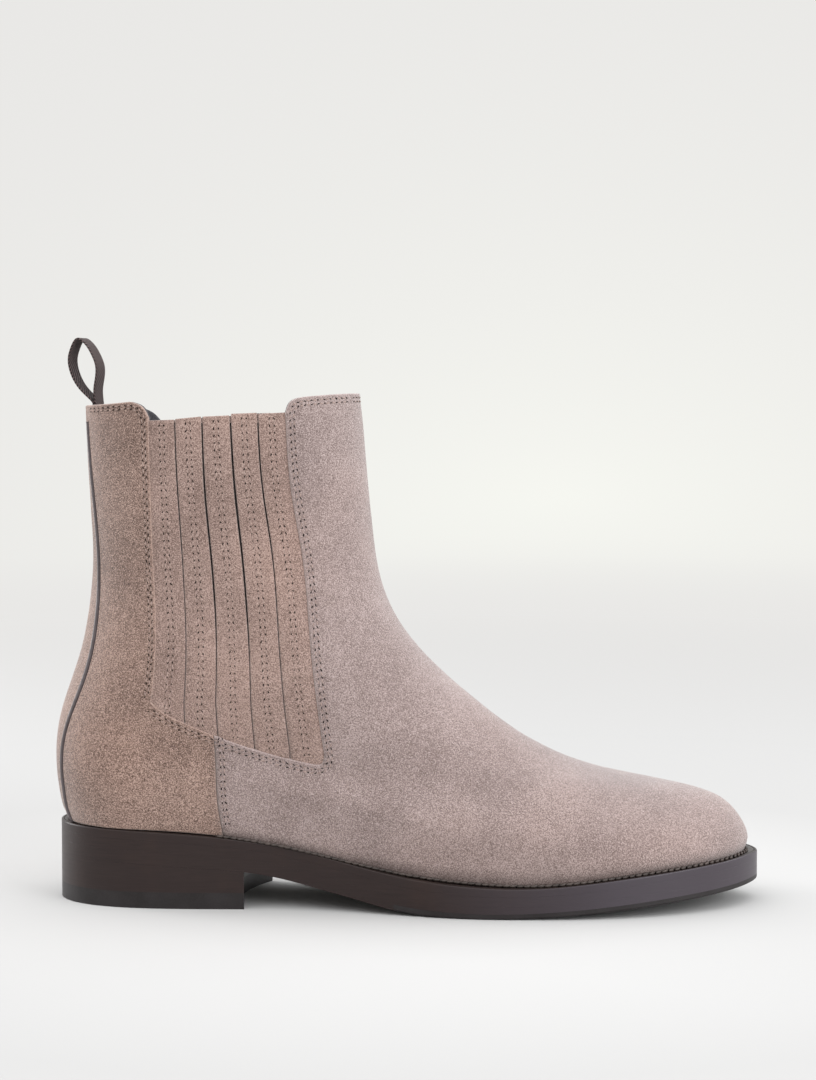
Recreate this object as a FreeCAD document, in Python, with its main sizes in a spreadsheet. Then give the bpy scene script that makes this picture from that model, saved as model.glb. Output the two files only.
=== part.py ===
"""Chelsea boot for the right foot: a suede upper with elastic gussets on a welted leather sole.

Millimetres. +X points to the toe, +Y to the inner side of the foot, +Z up. The origin is on the floor,
under the middle of the boot's outline. Every leather piece of the upper is a patch of one surface, the
shape of the last, taken at that piece's own depth. A point of that surface is named by

    turn   where it is around the boot: 0 at the toe and shin, 1 at the back of the heel, 2 at the toe
           again. From 0 to 1 it runs along the inner side, from 1 to 2 along the outer side.
    level  its height, from 0 at the welt to 12 at the collar. Level lines slope down towards the toe.

Each leather piece is then cut to its outline in side view.
"""
import FreeCAD
import Part
import math
import os

from FreeCAD import Placement, Rotation, Vector

DIMENSIONS = {
    # upper, depths are measured inwards from the outer surface
    "suede_thickness": 1.7,
    "strip_depth": 0.7,
    "strip_thickness": 1.1,
    "strip_gap": 1.0,
    "gore_depth": 1.9,
    "gore_thickness": 1.0,
    "gore_margin": 5.0,
    "stiffener_depth": 1.85,
    "stiffener_thickness": 0.85,
    "lining_depth": 2.95,
    "lining_thickness": 0.9,
    "piping_width": 1.6,
    "piping_proud": 0.35,
    "piping_thickness": 1.7,
    "cutter_width": 160.0,
    # bottom
    "welt_share": 0.27,
    "midsole_share": 0.60,
    "half_sole_share": 0.83,
    "welt_inner_inset": 11.0,
    "insole_gap": 0.15,
    "insole_thickness": 2.4,
    "sock_thickness": 1.2,
    "insole_depth": 4.6,
    "sock_depth": 5.4,
    "shank_length": 98.0,
    "shank_width": 14.0,
    "shank_back": -104.0,
    # heel
    "top_lift_height": 7.0,
    "lift_height": 3.6,
    "nail_radius": 1.1,
    "nail_length": 14.0,
    "nail_base": 0.6,
    "nail_inset": 7.5,
    # pull loop
    "loop_width": 9.5,
    "loop_thickness": 1.0,
    "loop_pivot_x": -133.8,
    "loop_pivot_z": 212.9,
    "loop_twist": -13.5,
    "loop_slot_width": 15.0,
    "loop_slot_height": 8.0,
}

# The last in side view: where each level line meets the back of the heel and the toe or shin.
BACK_LINE = [(-147.6, 33.8), (-150.2, 40), (-151.8, 48), (-152.8, 57.5), (-152.7, 68), (-150.9, 79.5),
             (-147, 92), (-142.2, 106.5), (-138.3, 124.5), (-136.3, 145), (-137, 168), (-138.5, 191),
             (-139.3, 215)]
FRONT_LINE = [(146.4, 21.4), (148.2, 28), (143.8, 37), (131.5, 45.6), (108, 51.1), (80, 56.4),
              (51, 69.2), (24, 90.7), (2, 113), (-10.5, 137), (-14.9, 165), (-17.5, 192), (-20, 219.3)]
TOP_LEVEL = 12.0
FIRST_LEVEL = 0.03
# How far the feather line dips below a straight line from heel to toe, by share of the length.
SAG_SHARES = [0, 0.12, 0.22, 0.33, 0.42, 0.5, 0.6, 0.7, 0.8, 0.9, 1]
SAG = [0, 0.4, -0.2, -3.2, -7.6, -11.2, -13.0, -12.0, -8.0, -3.8, 0]
SAG_LEVELS = 7.0
# Half-breadths of the last: one row per level in BREADTH_LEVELS, one column per share of the length.
BREADTH_LEVELS = [0, 2, 4, 6, 8, 10, 12]
BREADTH_SHARES = [0, 0.25, 0.5, 0.75, 1]
OUTER_BREADTH = [(31, 31, 38.5, 47.5, 46), (32, 32.5, 40.5, 49.5, 48), (32.5, 32.5, 39.5, 49, 48),
                 (31.5, 32, 38, 44, 41.5), (30.5, 31.5, 34, 36.5, 33.5), (30, 31, 32, 32, 30),
                 (29, 29.5, 30, 29.5, 28)]
INNER_BREADTH = [(31, 28.5, 29.5, 46, 46), (32, 31, 33, 48.5, 48), (32.5, 31.5, 36, 49, 48),
                 (31.5, 31, 37, 44, 41.5), (30.5, 31, 34, 36.5, 33.5), (30, 31, 32, 32, 30),
                 (29, 29.5, 30, 29.5, 28)]
# Share of the length over which the round back and the round front reach the full half-breadth.
BACK_ROUND = [0.11, 0.115, 0.13, 0.18, 0.27, 0.33, 0.38]
FRONT_ROUND = [0.33, 0.42, 0.97, 0.75, 0.45, 0.36, 0.34]
# The back seam wanders to the outer side: its turn past the back of the heel, by level.
SEAM_LEVELS = [0, 2, 4, 6, 8, 10, 12]
SEAM_TURN = [0.072, 0.079, 0.091, 0.122, 0.132, 0.108, 0.076]

# Side-view outlines. The gusset's rear and front edges run down, its floor runs forwards.
GUSSET_REAR = [(-108.1, 208.4), (-106.8, 168.6), (-105.6, 140), (-104.8, 115), (-105.9, 97), (-107, 88)]
GUSSET_FLOOR = [(-107, 88), (-103.8, 85.1), (-90.2, 78), (-69, 70), (-47.7, 64.1), (-37.8, 62)]
GUSSET_CORNER = [(-37.8, 62), (-34.3, 62.4), (-33.2, 66)]
GUSSET_FRONT = [(-33.2, 66), (-35.7, 85.7), (-38.7, 112), (-42.3, 150), (-47, 177), (-49.6, 210.2)]
SIDE_SEAM = [(-80.2, 73.9), (-79.3, 60), (-78.6, 45), (-76.2, 28), (-75, 10)]
COLLAR_REAR_CORNER = [(-116.5, 215.3), (-111.2, 213.3), (-108.1, 208.4)]
COLLAR_FRONT_CORNER = [(-49.6, 210.2), (-47.6, 215.2), (-40, 217.6)]
STRIP_SHARES = [0, 0.195, 0.39, 0.6, 0.8, 1]
STRIP_NAMES = ("1", "2", "3", "4", "5")
AHEAD = 175.0

# The sole's outline from above, anticlockwise from the toe along the inner side.
SOLE_OUTLINE = [(152.7, 4), (149, 15.5), (138, 28), (119, 40), (97, 48), (75, 51.2), (52, 49.6), (30, 43),
                (8, 35), (-18, 29.8), (-45, 29.5), (-75, 32.5), (-105, 33.4), (-128, 29), (-144, 18),
                (-150.9, 0), (-144, -18), (-128, -29), (-105, -33.4), (-75, -33.6), (-45, -34.2),
                (-18, -39.8), (8, -46.6), (30, -50.6), (52, -51.2), (77, -49.6), (100, -44.6), (122, -35),
                (139, -22.5), (149.2, -8.5)]
# The sole's underside in side view, and the edge of the sole under the heel.
UNDERSIDE = [(-170, 20.6), (-150, 20.1), (-110, 18.7), (-80, 16.9), (-67, 15.8), (-53, 13.6), (-36, 9.6),
             (-21, 6.2), (-8, 3.2), (5, 1.1), (20, 0.2), (36, 0), (56, 0.7), (80, 2.4), (104, 4.6),
             (129, 6.9), (152, 9), (170, 10.8)]
HEEL_BREAST = [(-67.4, -60), (-67.4, -33), (-71.4, -2), (-60.5, 33), (-60.5, 60)]
HALF_SOLE_BACK = [(2, -60), (-12, 0), (2, 60)]
# The pull loop's middle line beside its pivot, from the outer leg over the top to the inner leg.
LOOP_LINE = [(-0.5, -1.2), (-0.55, 1.6), (-2.6, 4.1), (-7.3, 8.6), (-11, 15), (-12.1, 20.8),
             (-10.6, 26.4), (-7.9, 29.8), (-4.9, 28.2), (-1.2, 23), (0.7, 18), (0.6, 13), (-0.2, 7.6),
             (0.1, 3), (0.5, -1.2)]
LOOP_FORK = (-0.9, 4.6)


def spline(stations, values):
    """The natural cubic spline through the values at the stations, as a function."""
    last = len(stations) - 1
    steps = [stations[i + 1] - stations[i] for i in range(last)]
    bends = [0.0] * (last + 1)
    ratios = [0.0] * (last + 1)
    for i in range(1, last):
        rise_after = (values[i + 1] - values[i]) / steps[i]
        rise_before = (values[i] - values[i - 1]) / steps[i - 1]
        pivot = 2 * (steps[i - 1] + steps[i]) - steps[i - 1] * ratios[i - 1]
        ratios[i] = steps[i] / pivot
        bends[i] = (6 * (rise_after - rise_before) - steps[i - 1] * bends[i - 1]) / pivot
    for i in range(last - 1, 0, -1):
        bends[i] -= ratios[i] * bends[i + 1]

    def value(at):
        i = 0
        while i < last - 1 and at > stations[i + 1]:
            i += 1
        near = (stations[i + 1] - at) / steps[i]
        far = 1 - near
        bend = (near ** 3 - near) * bends[i] + (far ** 3 - far) * bends[i + 1]
        return near * values[i] + far * values[i + 1] + bend * steps[i] ** 2 / 6

    return value


def column(rows, index):
    return [row[index] for row in rows]


def breadth_table(rows):
    columns = [spline(BREADTH_LEVELS, column(rows, i)) for i in range(len(BREADTH_SHARES))]
    return lambda share, level: spline(BREADTH_SHARES, [c(level) for c in columns])(share)


LEVELS = list(range(len(BACK_LINE)))
back_x = spline(LEVELS, column(BACK_LINE, 0))
back_z = spline(LEVELS, column(BACK_LINE, 1))
front_x = spline(LEVELS, column(FRONT_LINE, 0))
front_z = spline(LEVELS, column(FRONT_LINE, 1))
sag_at = spline(SAG_SHARES, SAG)
outer_breadth = breadth_table(OUTER_BREADTH)
inner_breadth = breadth_table(INNER_BREADTH)
back_round = spline(BREADTH_LEVELS, BACK_ROUND)
front_round = spline(BREADTH_LEVELS, FRONT_ROUND)
seam_turn = spline(SEAM_LEVELS, SEAM_TURN)
underside_z = spline(column(UNDERSIDE, 0), column(UNDERSIDE, 1))
gusset_rear_x = spline(column(GUSSET_REAR[::-1], 1), column(GUSSET_REAR[::-1], 0))
gusset_front_x = spline(column(GUSSET_FRONT, 1), column(GUSSET_FRONT, 0))


def side_point(share, level):
    """The place in side view of the point this share of the way along a level line."""
    x = back_x(level) + (front_x(level) - back_x(level)) * share
    z = back_z(level) + (front_z(level) - back_z(level)) * share
    fade = max(0.0, 1 - level / SAG_LEVELS) ** 2
    return x, z + sag_at(share) * fade


def quarter_round(share):
    """The height of a quarter of an ellipse that rises from 0 and is level from 1 on."""
    return math.sqrt(1 - (1 - min(max(share, 0.0), 1.0)) ** 2)


def last_point(turn, level):
    """The point of the last's surface at this turn and level."""
    side = (turn + 1) % 2 - 1
    share = (1 - math.cos(math.pi * (1 - abs(side)))) / 2
    x, z = side_point(share, level)
    breadth = outer_breadth(share, level) if side < 0 else inner_breadth(share, level)
    breadth *= quarter_round(share / back_round(level))
    breadth *= quarter_round((1 - share) / front_round(level))
    return Vector(x, -breadth if side < 0 else breadth, z)


def skin_point(turn, level, depth):
    """The point this deep below the last's outer surface."""
    step = 0.004
    around = last_point(turn + step, level) - last_point(turn - step, level)
    upwards = last_point(turn, level + step) - last_point(turn, level - step)
    outwards = around.cross(upwards).normalize()
    return last_point(turn, level) - outwards * depth


def skin(turn_range, level_range, depth, thickness, turns=30, rows=26):
    """A closed patch of leather of the given thickness, between two turns and two levels.

    Either end of turn_range may be a function of the level, for an edge that slants.
    """
    def at_level(end, level):
        return end(level) if callable(end) else end

    faces = []
    for below in (depth, depth + thickness):
        grid = []
        for i in range(turns + 1):
            line = []
            for j in range(rows + 1):
                level = level_range[0] + (level_range[1] - level_range[0]) * j / rows
                first = at_level(turn_range[0], level)
                last = at_level(turn_range[1], level)
                line.append(skin_point(first + (last - first) * i / turns, level, below))
            grid.append(line)
        surface = Part.BSplineSurface()
        surface.interpolate(grid)
        faces.append(surface.toShape())
    rims = [Part.makeRuledSurface(outer, inner) for outer, inner in zip(faces[0].Edges, faces[1].Edges)]
    shell = Part.Shell(faces + rims)
    shell.sewShape()
    solid = Part.Solid(shell)
    if solid.Volume < 0:
        solid.reverse()
    return solid


def vector(point):
    return Vector(point[0], point[1], 0)


def smooth_curve(points, closed=False):
    curve = Part.BSplineCurve()
    curve.interpolate([vector(p) for p in points], PeriodicFlag=closed)
    return curve


def sketched_body(name, role, curves):
    """A body holding one sketch of the curves on its own XY, XZ or YZ plane."""
    body = doc.addObject("PartDesign::Body", name)
    sketch = body.newObject("Sketcher::SketchObject", name + "_sketch")
    plane = [f for f in body.Origin.OriginFeatures if f.Role == role][0]
    sketch.AttachmentSupport = (plane, "")
    sketch.MapMode = "FlatFace"
    for curve in curves:
        sketch.addGeometry(curve, False)
    return body, sketch


def padded_body(name, role, curves, length):
    """A sketch of the curves, padded to both sides of its plane by the sheet's length cell."""
    body, sketch = sketched_body(name, role, curves)
    pad = body.newObject("PartDesign::Pad", name + "_pad")
    pad.Profile = sketch
    pad.SideType = "Symmetric"
    pad.setExpression("Length", "Dimensions." + length)
    return body


def closed_profile(stretches):
    """Curves for a closed outline. Two points give a straight stretch and more a smooth one."""
    curves = []
    for points in stretches:
        if len(points) == 2:
            curves.append(Part.LineSegment(vector(points[0]), vector(points[1])))
        else:
            curves.append(smooth_curve(points))
    return curves


def boolean(kind, label, base, tool):
    """A Part::Cut or Part::Common of two objects."""
    result = doc.addObject("Part::" + kind, label)
    result.Base = base
    result.Tool = tool
    return result


def shared(label, shapes):
    """What all the shapes have in common."""
    result = doc.addObject("Part::MultiCommon", label)
    result.Shapes = shapes
    return result


def feature(label, shape):
    result = doc.addObject("Part::Feature", label)
    result.Shape = shape
    return result


doc = FreeCAD.newDocument("chelsea_boot")
sheet = doc.addObject("Spreadsheet::Sheet", "Dimensions")
for row, (name, size) in enumerate(DIMENSIONS.items(), start=1):
    sheet.set("A%d" % row, name)
    sheet.set("B%d" % row, str(size))
    sheet.setAlias("B%d" % row, name)
doc.recompute()


def size(name):
    return float(sheet.get(name))


nodes = {}


# ---- Upper ----------------------------------------------------------------------------------------

def quarter_cutter():
    """Side view of the quarters: behind the side seam, under the gusset's rear part and behind it."""
    corner = COLLAR_REAR_CORNER
    floor_behind = [p for p in GUSSET_FLOOR if p[0] < SIDE_SEAM[0][0]] + [SIDE_SEAM[0]]
    stretches = [[(-AHEAD, 214.4), corner[0]], corner, GUSSET_REAR, floor_behind, SIDE_SEAM,
                 [SIDE_SEAM[-1], (-AHEAD, 10)], [(-AHEAD, 10), (-AHEAD, 214.4)]]
    return padded_body("quarter_cutter", "XZ_Plane", closed_profile(stretches), "cutter_width")


def vamp_cutter():
    """Side view of the vamp: ahead of the side seam and the gusset."""
    corner = COLLAR_FRONT_CORNER
    floor_ahead = [SIDE_SEAM[0]] + [p for p in GUSSET_FLOOR if p[0] > SIDE_SEAM[0][0]]
    stretches = [SIDE_SEAM[::-1], floor_ahead, GUSSET_CORNER, GUSSET_FRONT, corner,
                 [corner[-1], (-28, 218.6), (0, 219.6)], [(0, 219.6), (AHEAD, 219.6)],
                 [(AHEAD, 219.6), (AHEAD, 10)], [(AHEAD, 10), SIDE_SEAM[-1]]]
    return padded_body("vamp_cutter", "XZ_Plane", closed_profile(stretches), "cutter_width")


def gusset_cutter():
    """Side view of the opening that the gusset fills."""
    stretches = [GUSSET_REAR, GUSSET_FLOOR, GUSSET_CORNER, GUSSET_FRONT, [GUSSET_FRONT[-1], GUSSET_REAR[0]]]
    return padded_body("gusset_cutter", "XZ_Plane", closed_profile(stretches), "cutter_width")


def gore_cutter():
    """The gusset's side view with a margin that is sewn behind the panels."""
    margin = size("gore_margin")
    rear = [(x - margin, z) for x, z in GUSSET_REAR[:-1]] + [(-112, 84)]
    floor = [(-112, 84), (-90, 72.5), (-69, 64.5), (-47.7, 58.8), (-28.5, 56.5)]
    front = [(-28.5, 56.5)] + [(x + margin, z) for x, z in GUSSET_FRONT[1:]]
    stretches = [rear, floor, front, [front[-1], rear[0]]]
    return padded_body("gore_cutter", "XZ_Plane", closed_profile(stretches), "cutter_width")


def strip_cutter(index):
    """Side view of one strip, from half a gap inside one share of the gusset's width to the next."""
    half_gap = size("strip_gap") / 2
    heights = [214, 190, 160, 130, 100, 75, 54]

    def edge(share, nudge):
        points = []
        for z in heights:
            rear = gusset_rear_x(z)
            points.append((rear + (gusset_front_x(z) - rear) * share + nudge, z))
        return points

    rear = edge(STRIP_SHARES[index], half_gap)
    front = edge(STRIP_SHARES[index + 1], -half_gap)[::-1]
    stretches = [rear, [rear[-1], front[0]], front, [front[-1], rear[0]]]
    name = "strip_cutter_" + STRIP_NAMES[index]
    return padded_body(name, "XZ_Plane", closed_profile(stretches), "cutter_width")


def seam_edge(side):
    """The turn, by level, of the edge of the quarter on this side of the piping: 1 outer, -1 inner."""
    def turn(level):
        near = last_point(1.01, level) - last_point(0.99, level)
        half_width = size("piping_width") / 2 + 0.05
        return 1 + seam_turn(level) + side * half_width * 0.02 / near.Length
    return turn


def make_upper():
    suede = size("suede_thickness")
    levels = (FIRST_LEVEL, TOP_LEVEL)
    quarter_shape = quarter_cutter()
    vamp_shape = vamp_cutter()
    gusset_shape = gusset_cutter()
    gore_shape = gore_cutter()

    vamp_skin = feature("vamp_skin", skin((-0.70, 0.70), levels, 0, suede, turns=44, rows=32))
    nodes["vamp"] = boolean("Common", "vamp", vamp_skin, vamp_shape)
    inner_skin = feature("quarter_medial_skin", skin((0.61, seam_edge(-1)), levels, 0, suede))
    nodes["quarter_medial"] = boolean("Common", "quarter_medial", inner_skin, quarter_shape)
    outer_skin = feature("quarter_lateral_skin", skin((seam_edge(1), 1.39), levels, 0, suede))
    nodes["quarter_lateral"] = boolean("Common", "quarter_lateral", outer_skin, quarter_shape)

    def piping_edge(side):
        edge = seam_edge(side)
        return lambda level: 1 + seam_turn(level) + 0.94 * (edge(level) - 1 - seam_turn(level))

    piping = skin((piping_edge(-1), piping_edge(1)), (FIRST_LEVEL, 11.85), -size("piping_proud"),
                  size("piping_thickness"), turns=4)
    nodes["back_seam_piping"] = feature("back_seam_piping", piping)

    gusset_turns = {"medial": (0.25, 0.73), "lateral": (1.27, 1.75)}
    strip_shapes = [strip_cutter(i) for i in range(len(STRIP_NAMES))]
    for side, turns in gusset_turns.items():
        gore_skin = feature("gore_skin_" + side, skin(turns, (2.8, 11.72), size("gore_depth"),
                                                      size("gore_thickness")))
        nodes["elastic_gore_" + side] = boolean("Common", "elastic_gore_" + side, gore_skin, gore_shape)
        strip_skin = feature("strip_skin_" + side, skin(turns, (2.8, TOP_LEVEL), size("strip_depth"),
                                                        size("strip_thickness")))
        for name, strip_shape in zip(STRIP_NAMES, strip_shapes):
            label = "gusset_strip_%s_%s" % (side, name)
            nodes[label] = shared(label, [strip_skin, strip_shape, gusset_shape])

    lining_depth = size("lining_depth")
    lining_thickness = size("lining_thickness")
    front_lining = feature("vamp_lining_skin",
                           skin((-0.70, 0.70), levels, lining_depth, lining_thickness, turns=44, rows=32))
    nodes["vamp_lining"] = boolean("Common", "vamp_lining", front_lining, vamp_shape)
    back_lining = feature("quarter_lining_skin", skin((0.61, 1.39), levels, lining_depth, lining_thickness))
    back_lining = boolean("Common", "quarter_lining_whole", back_lining, quarter_shape)
    slot = doc.addObject("Part::Box", "loop_slot")
    slot.setExpression("Length", "Dimensions.loop_slot_width")
    slot.setExpression("Width", "Dimensions.loop_slot_width")
    slot.setExpression("Height", "Dimensions.loop_slot_height")
    half_slot = size("loop_slot_width") / 2
    slot.Placement.Base = Vector(size("loop_pivot_x") - half_slot, -half_slot, size("loop_pivot_z") - 4.5)
    nodes["quarter_lining"] = boolean("Cut", "quarter_lining", back_lining, slot)

    stiffener_depth = size("stiffener_depth")
    stiffener = size("stiffener_thickness")

    def counter_front(side):
        return lambda level: 1 + side * (0.34 - 0.028 * level)

    counter = skin((counter_front(-1), counter_front(1)), (0.1, 5.4), stiffener_depth, stiffener)
    nodes["heel_counter"] = feature("heel_counter", counter)
    puff = skin((-0.27, 0.27), (0.1, 3.9), stiffener_depth, stiffener)
    nodes["toe_puff"] = feature("toe_puff", puff)


# ---- Bottom ---------------------------------------------------------------------------------------

def feather_z(x):
    """The height of the sole's top, which carries the upper's feather line, run on past both ends."""
    share = (x - back_x(0)) / (front_x(0) - back_x(0))
    z = back_z(0) + (front_z(0) - back_z(0)) * share
    return z + (sag_at(share) if 0 < share < 1 else 0)


def sole_curve(share):
    """The surface this share of the way from the sole's top to its underside, in side view."""
    points = []
    for i in range(25):
        x = -160 + 320 * i / 24
        points.append((x, feather_z(x) - share * (feather_z(x) - underside_z(x))))
    return points


def raised_curve(height):
    """The sole's top in side view, raised by this much."""
    return [(x, z + height) for x, z in sole_curve(0)]


def slab(name, upper, lower):
    """A sheet of any width between two side-view curves."""
    lower = lower[::-1]
    stretches = [upper, [upper[-1], lower[0]], lower, [lower[-1], upper[0]]]
    return padded_body(name, "XZ_Plane", closed_profile(stretches), "cutter_width")


def outline_body(name, points):
    return padded_body(name, "XY_Plane", [smooth_curve(points, closed=True)], "cutter_width")


def inset_outline(points, distance, count):
    """A closed outline inside another one, by a distance along its normals."""
    curve = smooth_curve(points, closed=True)
    inset = []
    for i in range(count):
        at = curve.FirstParameter + (curve.LastParameter - curve.FirstParameter) * i / count
        tangent = curve.tangent(at)[0]
        place = curve.value(at)
        inset.append((place.x - tangent.y * distance, place.y + tangent.x * distance))
    return inset


def upper_outline(level, depth):
    """The outline from above of the space inside the upper."""
    count = 36
    points = [skin_point(2.0 * i / count, level, depth) for i in range(count)]
    return [(p.x, p.y) for p in points]


def make_bottom():
    outline = outline_body("sole_outline", SOLE_OUTLINE)
    inner = outline_body("welt_inner_outline", inset_outline(SOLE_OUTLINE, size("welt_inner_inset"), 40))
    foot = outline_body("foot_outline", upper_outline(0, size("insole_depth")))
    sock = outline_body("sock_outline", upper_outline(0, size("sock_depth")))
    breast = HEEL_BREAST
    behind = [[(-AHEAD, -60), breast[0]], [breast[0], breast[1]], breast[1:4], [breast[3], breast[4]],
              [breast[4], (-AHEAD, 60)], [(-AHEAD, 60), (-AHEAD, -60)]]
    heel_zone = padded_body("heel_zone", "XY_Plane", closed_profile(behind), "cutter_width")
    back = HALF_SOLE_BACK
    ahead = [back, [back[2], (AHEAD, 60)], [(AHEAD, 60), (AHEAD, -60)], [(AHEAD, -60), back[0]]]
    fore_zone = padded_body("fore_zone", "XY_Plane", closed_profile(ahead), "cutter_width")

    top_slab = slab("welt_slab", sole_curve(0), sole_curve(size("welt_share")))
    whole_welt = boolean("Common", "welt_plate", top_slab, outline)
    ring = boolean("Cut", "welt_ring", whole_welt, inner)
    nodes["welt"] = boolean("Cut", "welt", ring, heel_zone)
    nodes["heel_rand"] = boolean("Common", "heel_rand", ring, heel_zone)

    share = size("welt_share")
    shank_slab = slab("shank_slab", sole_curve(share * 0.35), sole_curve(share * 0.7))
    shank_bar = doc.addObject("Part::Box", "shank_bar")
    shank_bar.setExpression("Length", "Dimensions.shank_length")
    shank_bar.setExpression("Width", "Dimensions.shank_width")
    shank_bar.Height = 60
    shank_bar.Placement.Base = Vector(size("shank_back"), -size("shank_width") / 2 - 1, 0)
    nodes["shank"] = boolean("Common", "shank", shank_slab, shank_bar)
    cork = boolean("Common", "cork_plate", top_slab, inner)
    nodes["cork_filler"] = boolean("Cut", "cork_filler", cork, nodes["shank"])

    midsole_slab = slab("midsole_slab", sole_curve(share), sole_curve(size("midsole_share")))
    nodes["midsole"] = boolean("Common", "midsole", midsole_slab, outline)
    outsole_slab = slab("outsole_slab", sole_curve(size("midsole_share")), sole_curve(1))
    outsole_plate = boolean("Common", "outsole_plate", outsole_slab, outline)
    half_slab = slab("half_sole_slab", sole_curve(size("half_sole_share")), sole_curve(1.0))
    nodes["half_sole"] = shared("half_sole", [half_slab, outline, fore_zone])
    nodes["outsole"] = boolean("Cut", "outsole", outsole_plate, nodes["half_sole"])

    base = size("insole_gap")
    insole_top = base + size("insole_thickness")
    insole_slab = slab("insole_slab", raised_curve(insole_top), raised_curve(base))
    nodes["insole"] = boolean("Common", "insole", insole_slab, foot)
    sock_slab = slab("sock_slab", raised_curve(insole_top + size("sock_thickness")), raised_curve(insole_top))
    nodes["sock_liner"] = boolean("Common", "sock_liner", sock_slab, sock)
    return outline, heel_zone


def flat_slab(name, low, high):
    corners = [(-AHEAD, low), (0, low), (0, high), (-AHEAD, high)]
    stretches = [[corners[i], corners[(i + 1) % 4]] for i in range(4)]
    return padded_body(name, "XZ_Plane", closed_profile(stretches), "cutter_width")


def make_heel(outline, heel_zone):
    """The heel's stack: three leather lifts, the highest one tapered, on a rubber top lift with nails."""
    first = size("top_lift_height")
    step = size("lift_height")
    stack = [("heel_top_lift", flat_slab("top_lift_slab", 0, first)),
             ("heel_lift_3", flat_slab("lift_3_slab", first, first + step)),
             ("heel_lift_2", flat_slab("lift_2_slab", first + step, first + 2 * step))]
    below_sole = slab("below_sole", sole_curve(1), [(-160, -10), (160, -10)])
    wedge = flat_slab("lift_1_block", first + 2 * step, 30)
    stack.append(("heel_lift_1", boolean("Common", "lift_1_slab", wedge, below_sole)))

    nail_line = inset_outline(SOLE_OUTLINE, size("nail_inset"), 160)
    places = [p for p in nail_line if p[0] < -78][::5]
    nails = []
    for number, (x, y) in enumerate(places, start=1):
        nail = doc.addObject("Part::Cylinder", "nail_%d" % number)
        nail.setExpression("Radius", "Dimensions.nail_radius")
        nail.setExpression("Height", "Dimensions.nail_length")
        nail.Placement.Base = Vector(x, y, size("nail_base"))
        nails.append(nail)
    group = doc.addObject("Part::Compound", "heel_nails")
    group.Links = nails
    bores = []
    for number, nail in enumerate(nails, start=1):
        bore = doc.addObject("Part::Cylinder", "nail_bore_%d" % number)
        bore.setExpression("Radius", "Dimensions.nail_radius")
        bore.setExpression("Height", "Dimensions.nail_length + Dimensions.nail_base")
        bore.Placement.Base = Vector(nail.Placement.Base.x, nail.Placement.Base.y, 0)
        bores.append(bore)
    bored = doc.addObject("Part::Compound", "nail_bores")
    bored.Links = bores
    nodes["heel_nails"] = group
    for label, sheet_of_leather in stack:
        blank = shared(label + "_blank", [sheet_of_leather, outline, heel_zone])
        nodes[label] = boolean("Cut", label, blank, bored)


# ---- Pull loop ------------------------------------------------------------------------------------

def beside(points, distance):
    """The points moved sideways from the smooth curve through them, to its left if positive."""
    curve = smooth_curve(points)
    moved = []
    for point in points:
        tangent = curve.tangent(curve.parameter(vector(point)))[0]
        moved.append((point[0] - tangent.y * distance, point[1] + tangent.x * distance))
    return moved


def make_pull_loop():
    """Folded webbing. It stands on a round foot that turns about its own middle, the loop's pivot."""
    half = size("loop_thickness") / 2
    outside = beside(LOOP_LINE, half)
    inside = beside(LOOP_LINE, -half)
    crest = inside[3:-3]
    top = len(crest) // 2
    foot = Part.Arc(vector(outside[-1]), Vector(0, -1.7, 0), vector(outside[0]))
    curves = closed_profile([outside, [LOOP_FORK] + crest[:top + 1], crest[top:] + [LOOP_FORK]])
    nodes["pull_loop"] = padded_body("pull_loop", "XZ_Plane", curves + [foot], "loop_width")
    place = Vector(size("loop_pivot_x"), 0, size("loop_pivot_z"))
    nodes["pull_loop"].Placement = Placement(place, Rotation(Vector(0, 0, 1), size("loop_twist")))


def check_and_write():
    doc.recompute()
    for made in doc.Objects:
        if "Invalid" in made.State or "Error" in made.State:
            raise RuntimeError("%s failed: %s" % (made.Label, made.State))
    os.makedirs("parts", exist_ok=True)
    for label, node in nodes.items():
        node.Label = label
        shape = node.Shape
        if shape.isNull() or not shape.isValid() or shape.Volume <= 0 or not shape.Solids:
            raise RuntimeError(label + " has no valid solid")
        print("%-26s %3d solid(s) %10.1f mm3" % (label, len(shape.Solids), shape.Volume))
        shape.exportStep("parts/%s.step" % label)


make_upper()
sole_outline, heel_part = make_bottom()
make_heel(sole_outline, heel_part)
make_pull_loop()
check_and_write()
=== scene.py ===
"""Looks of the chelsea boot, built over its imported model.

Lengths are millimetres in the model's frame until a mesh is made, which is in metres. The leather pieces
are patches of the last's surface. Each point of it has a turn, from 0 at the toe and shin to 1 at the
back along the inner side and on to 2 (or from 0 to -1) along the outer side, and a level, from 0 at the
welt to 12 at the collar.
"""

import math

import bpy
import numpy as np
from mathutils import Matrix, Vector, noise
from mathutils.geometry import delaunay_2d_cdt


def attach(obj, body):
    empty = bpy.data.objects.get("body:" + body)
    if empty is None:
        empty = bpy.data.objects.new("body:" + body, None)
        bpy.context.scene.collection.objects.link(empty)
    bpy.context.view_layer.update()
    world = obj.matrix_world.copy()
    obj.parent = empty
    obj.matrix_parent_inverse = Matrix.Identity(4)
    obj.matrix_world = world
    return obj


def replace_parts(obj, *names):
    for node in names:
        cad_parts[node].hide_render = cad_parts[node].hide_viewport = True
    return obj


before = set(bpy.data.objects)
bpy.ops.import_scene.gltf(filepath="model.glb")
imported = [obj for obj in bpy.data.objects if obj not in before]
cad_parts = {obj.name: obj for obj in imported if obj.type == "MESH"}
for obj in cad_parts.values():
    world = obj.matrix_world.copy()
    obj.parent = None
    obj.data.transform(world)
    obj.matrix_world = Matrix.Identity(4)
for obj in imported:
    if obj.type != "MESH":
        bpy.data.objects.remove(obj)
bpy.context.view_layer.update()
MM = 0.001

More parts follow.
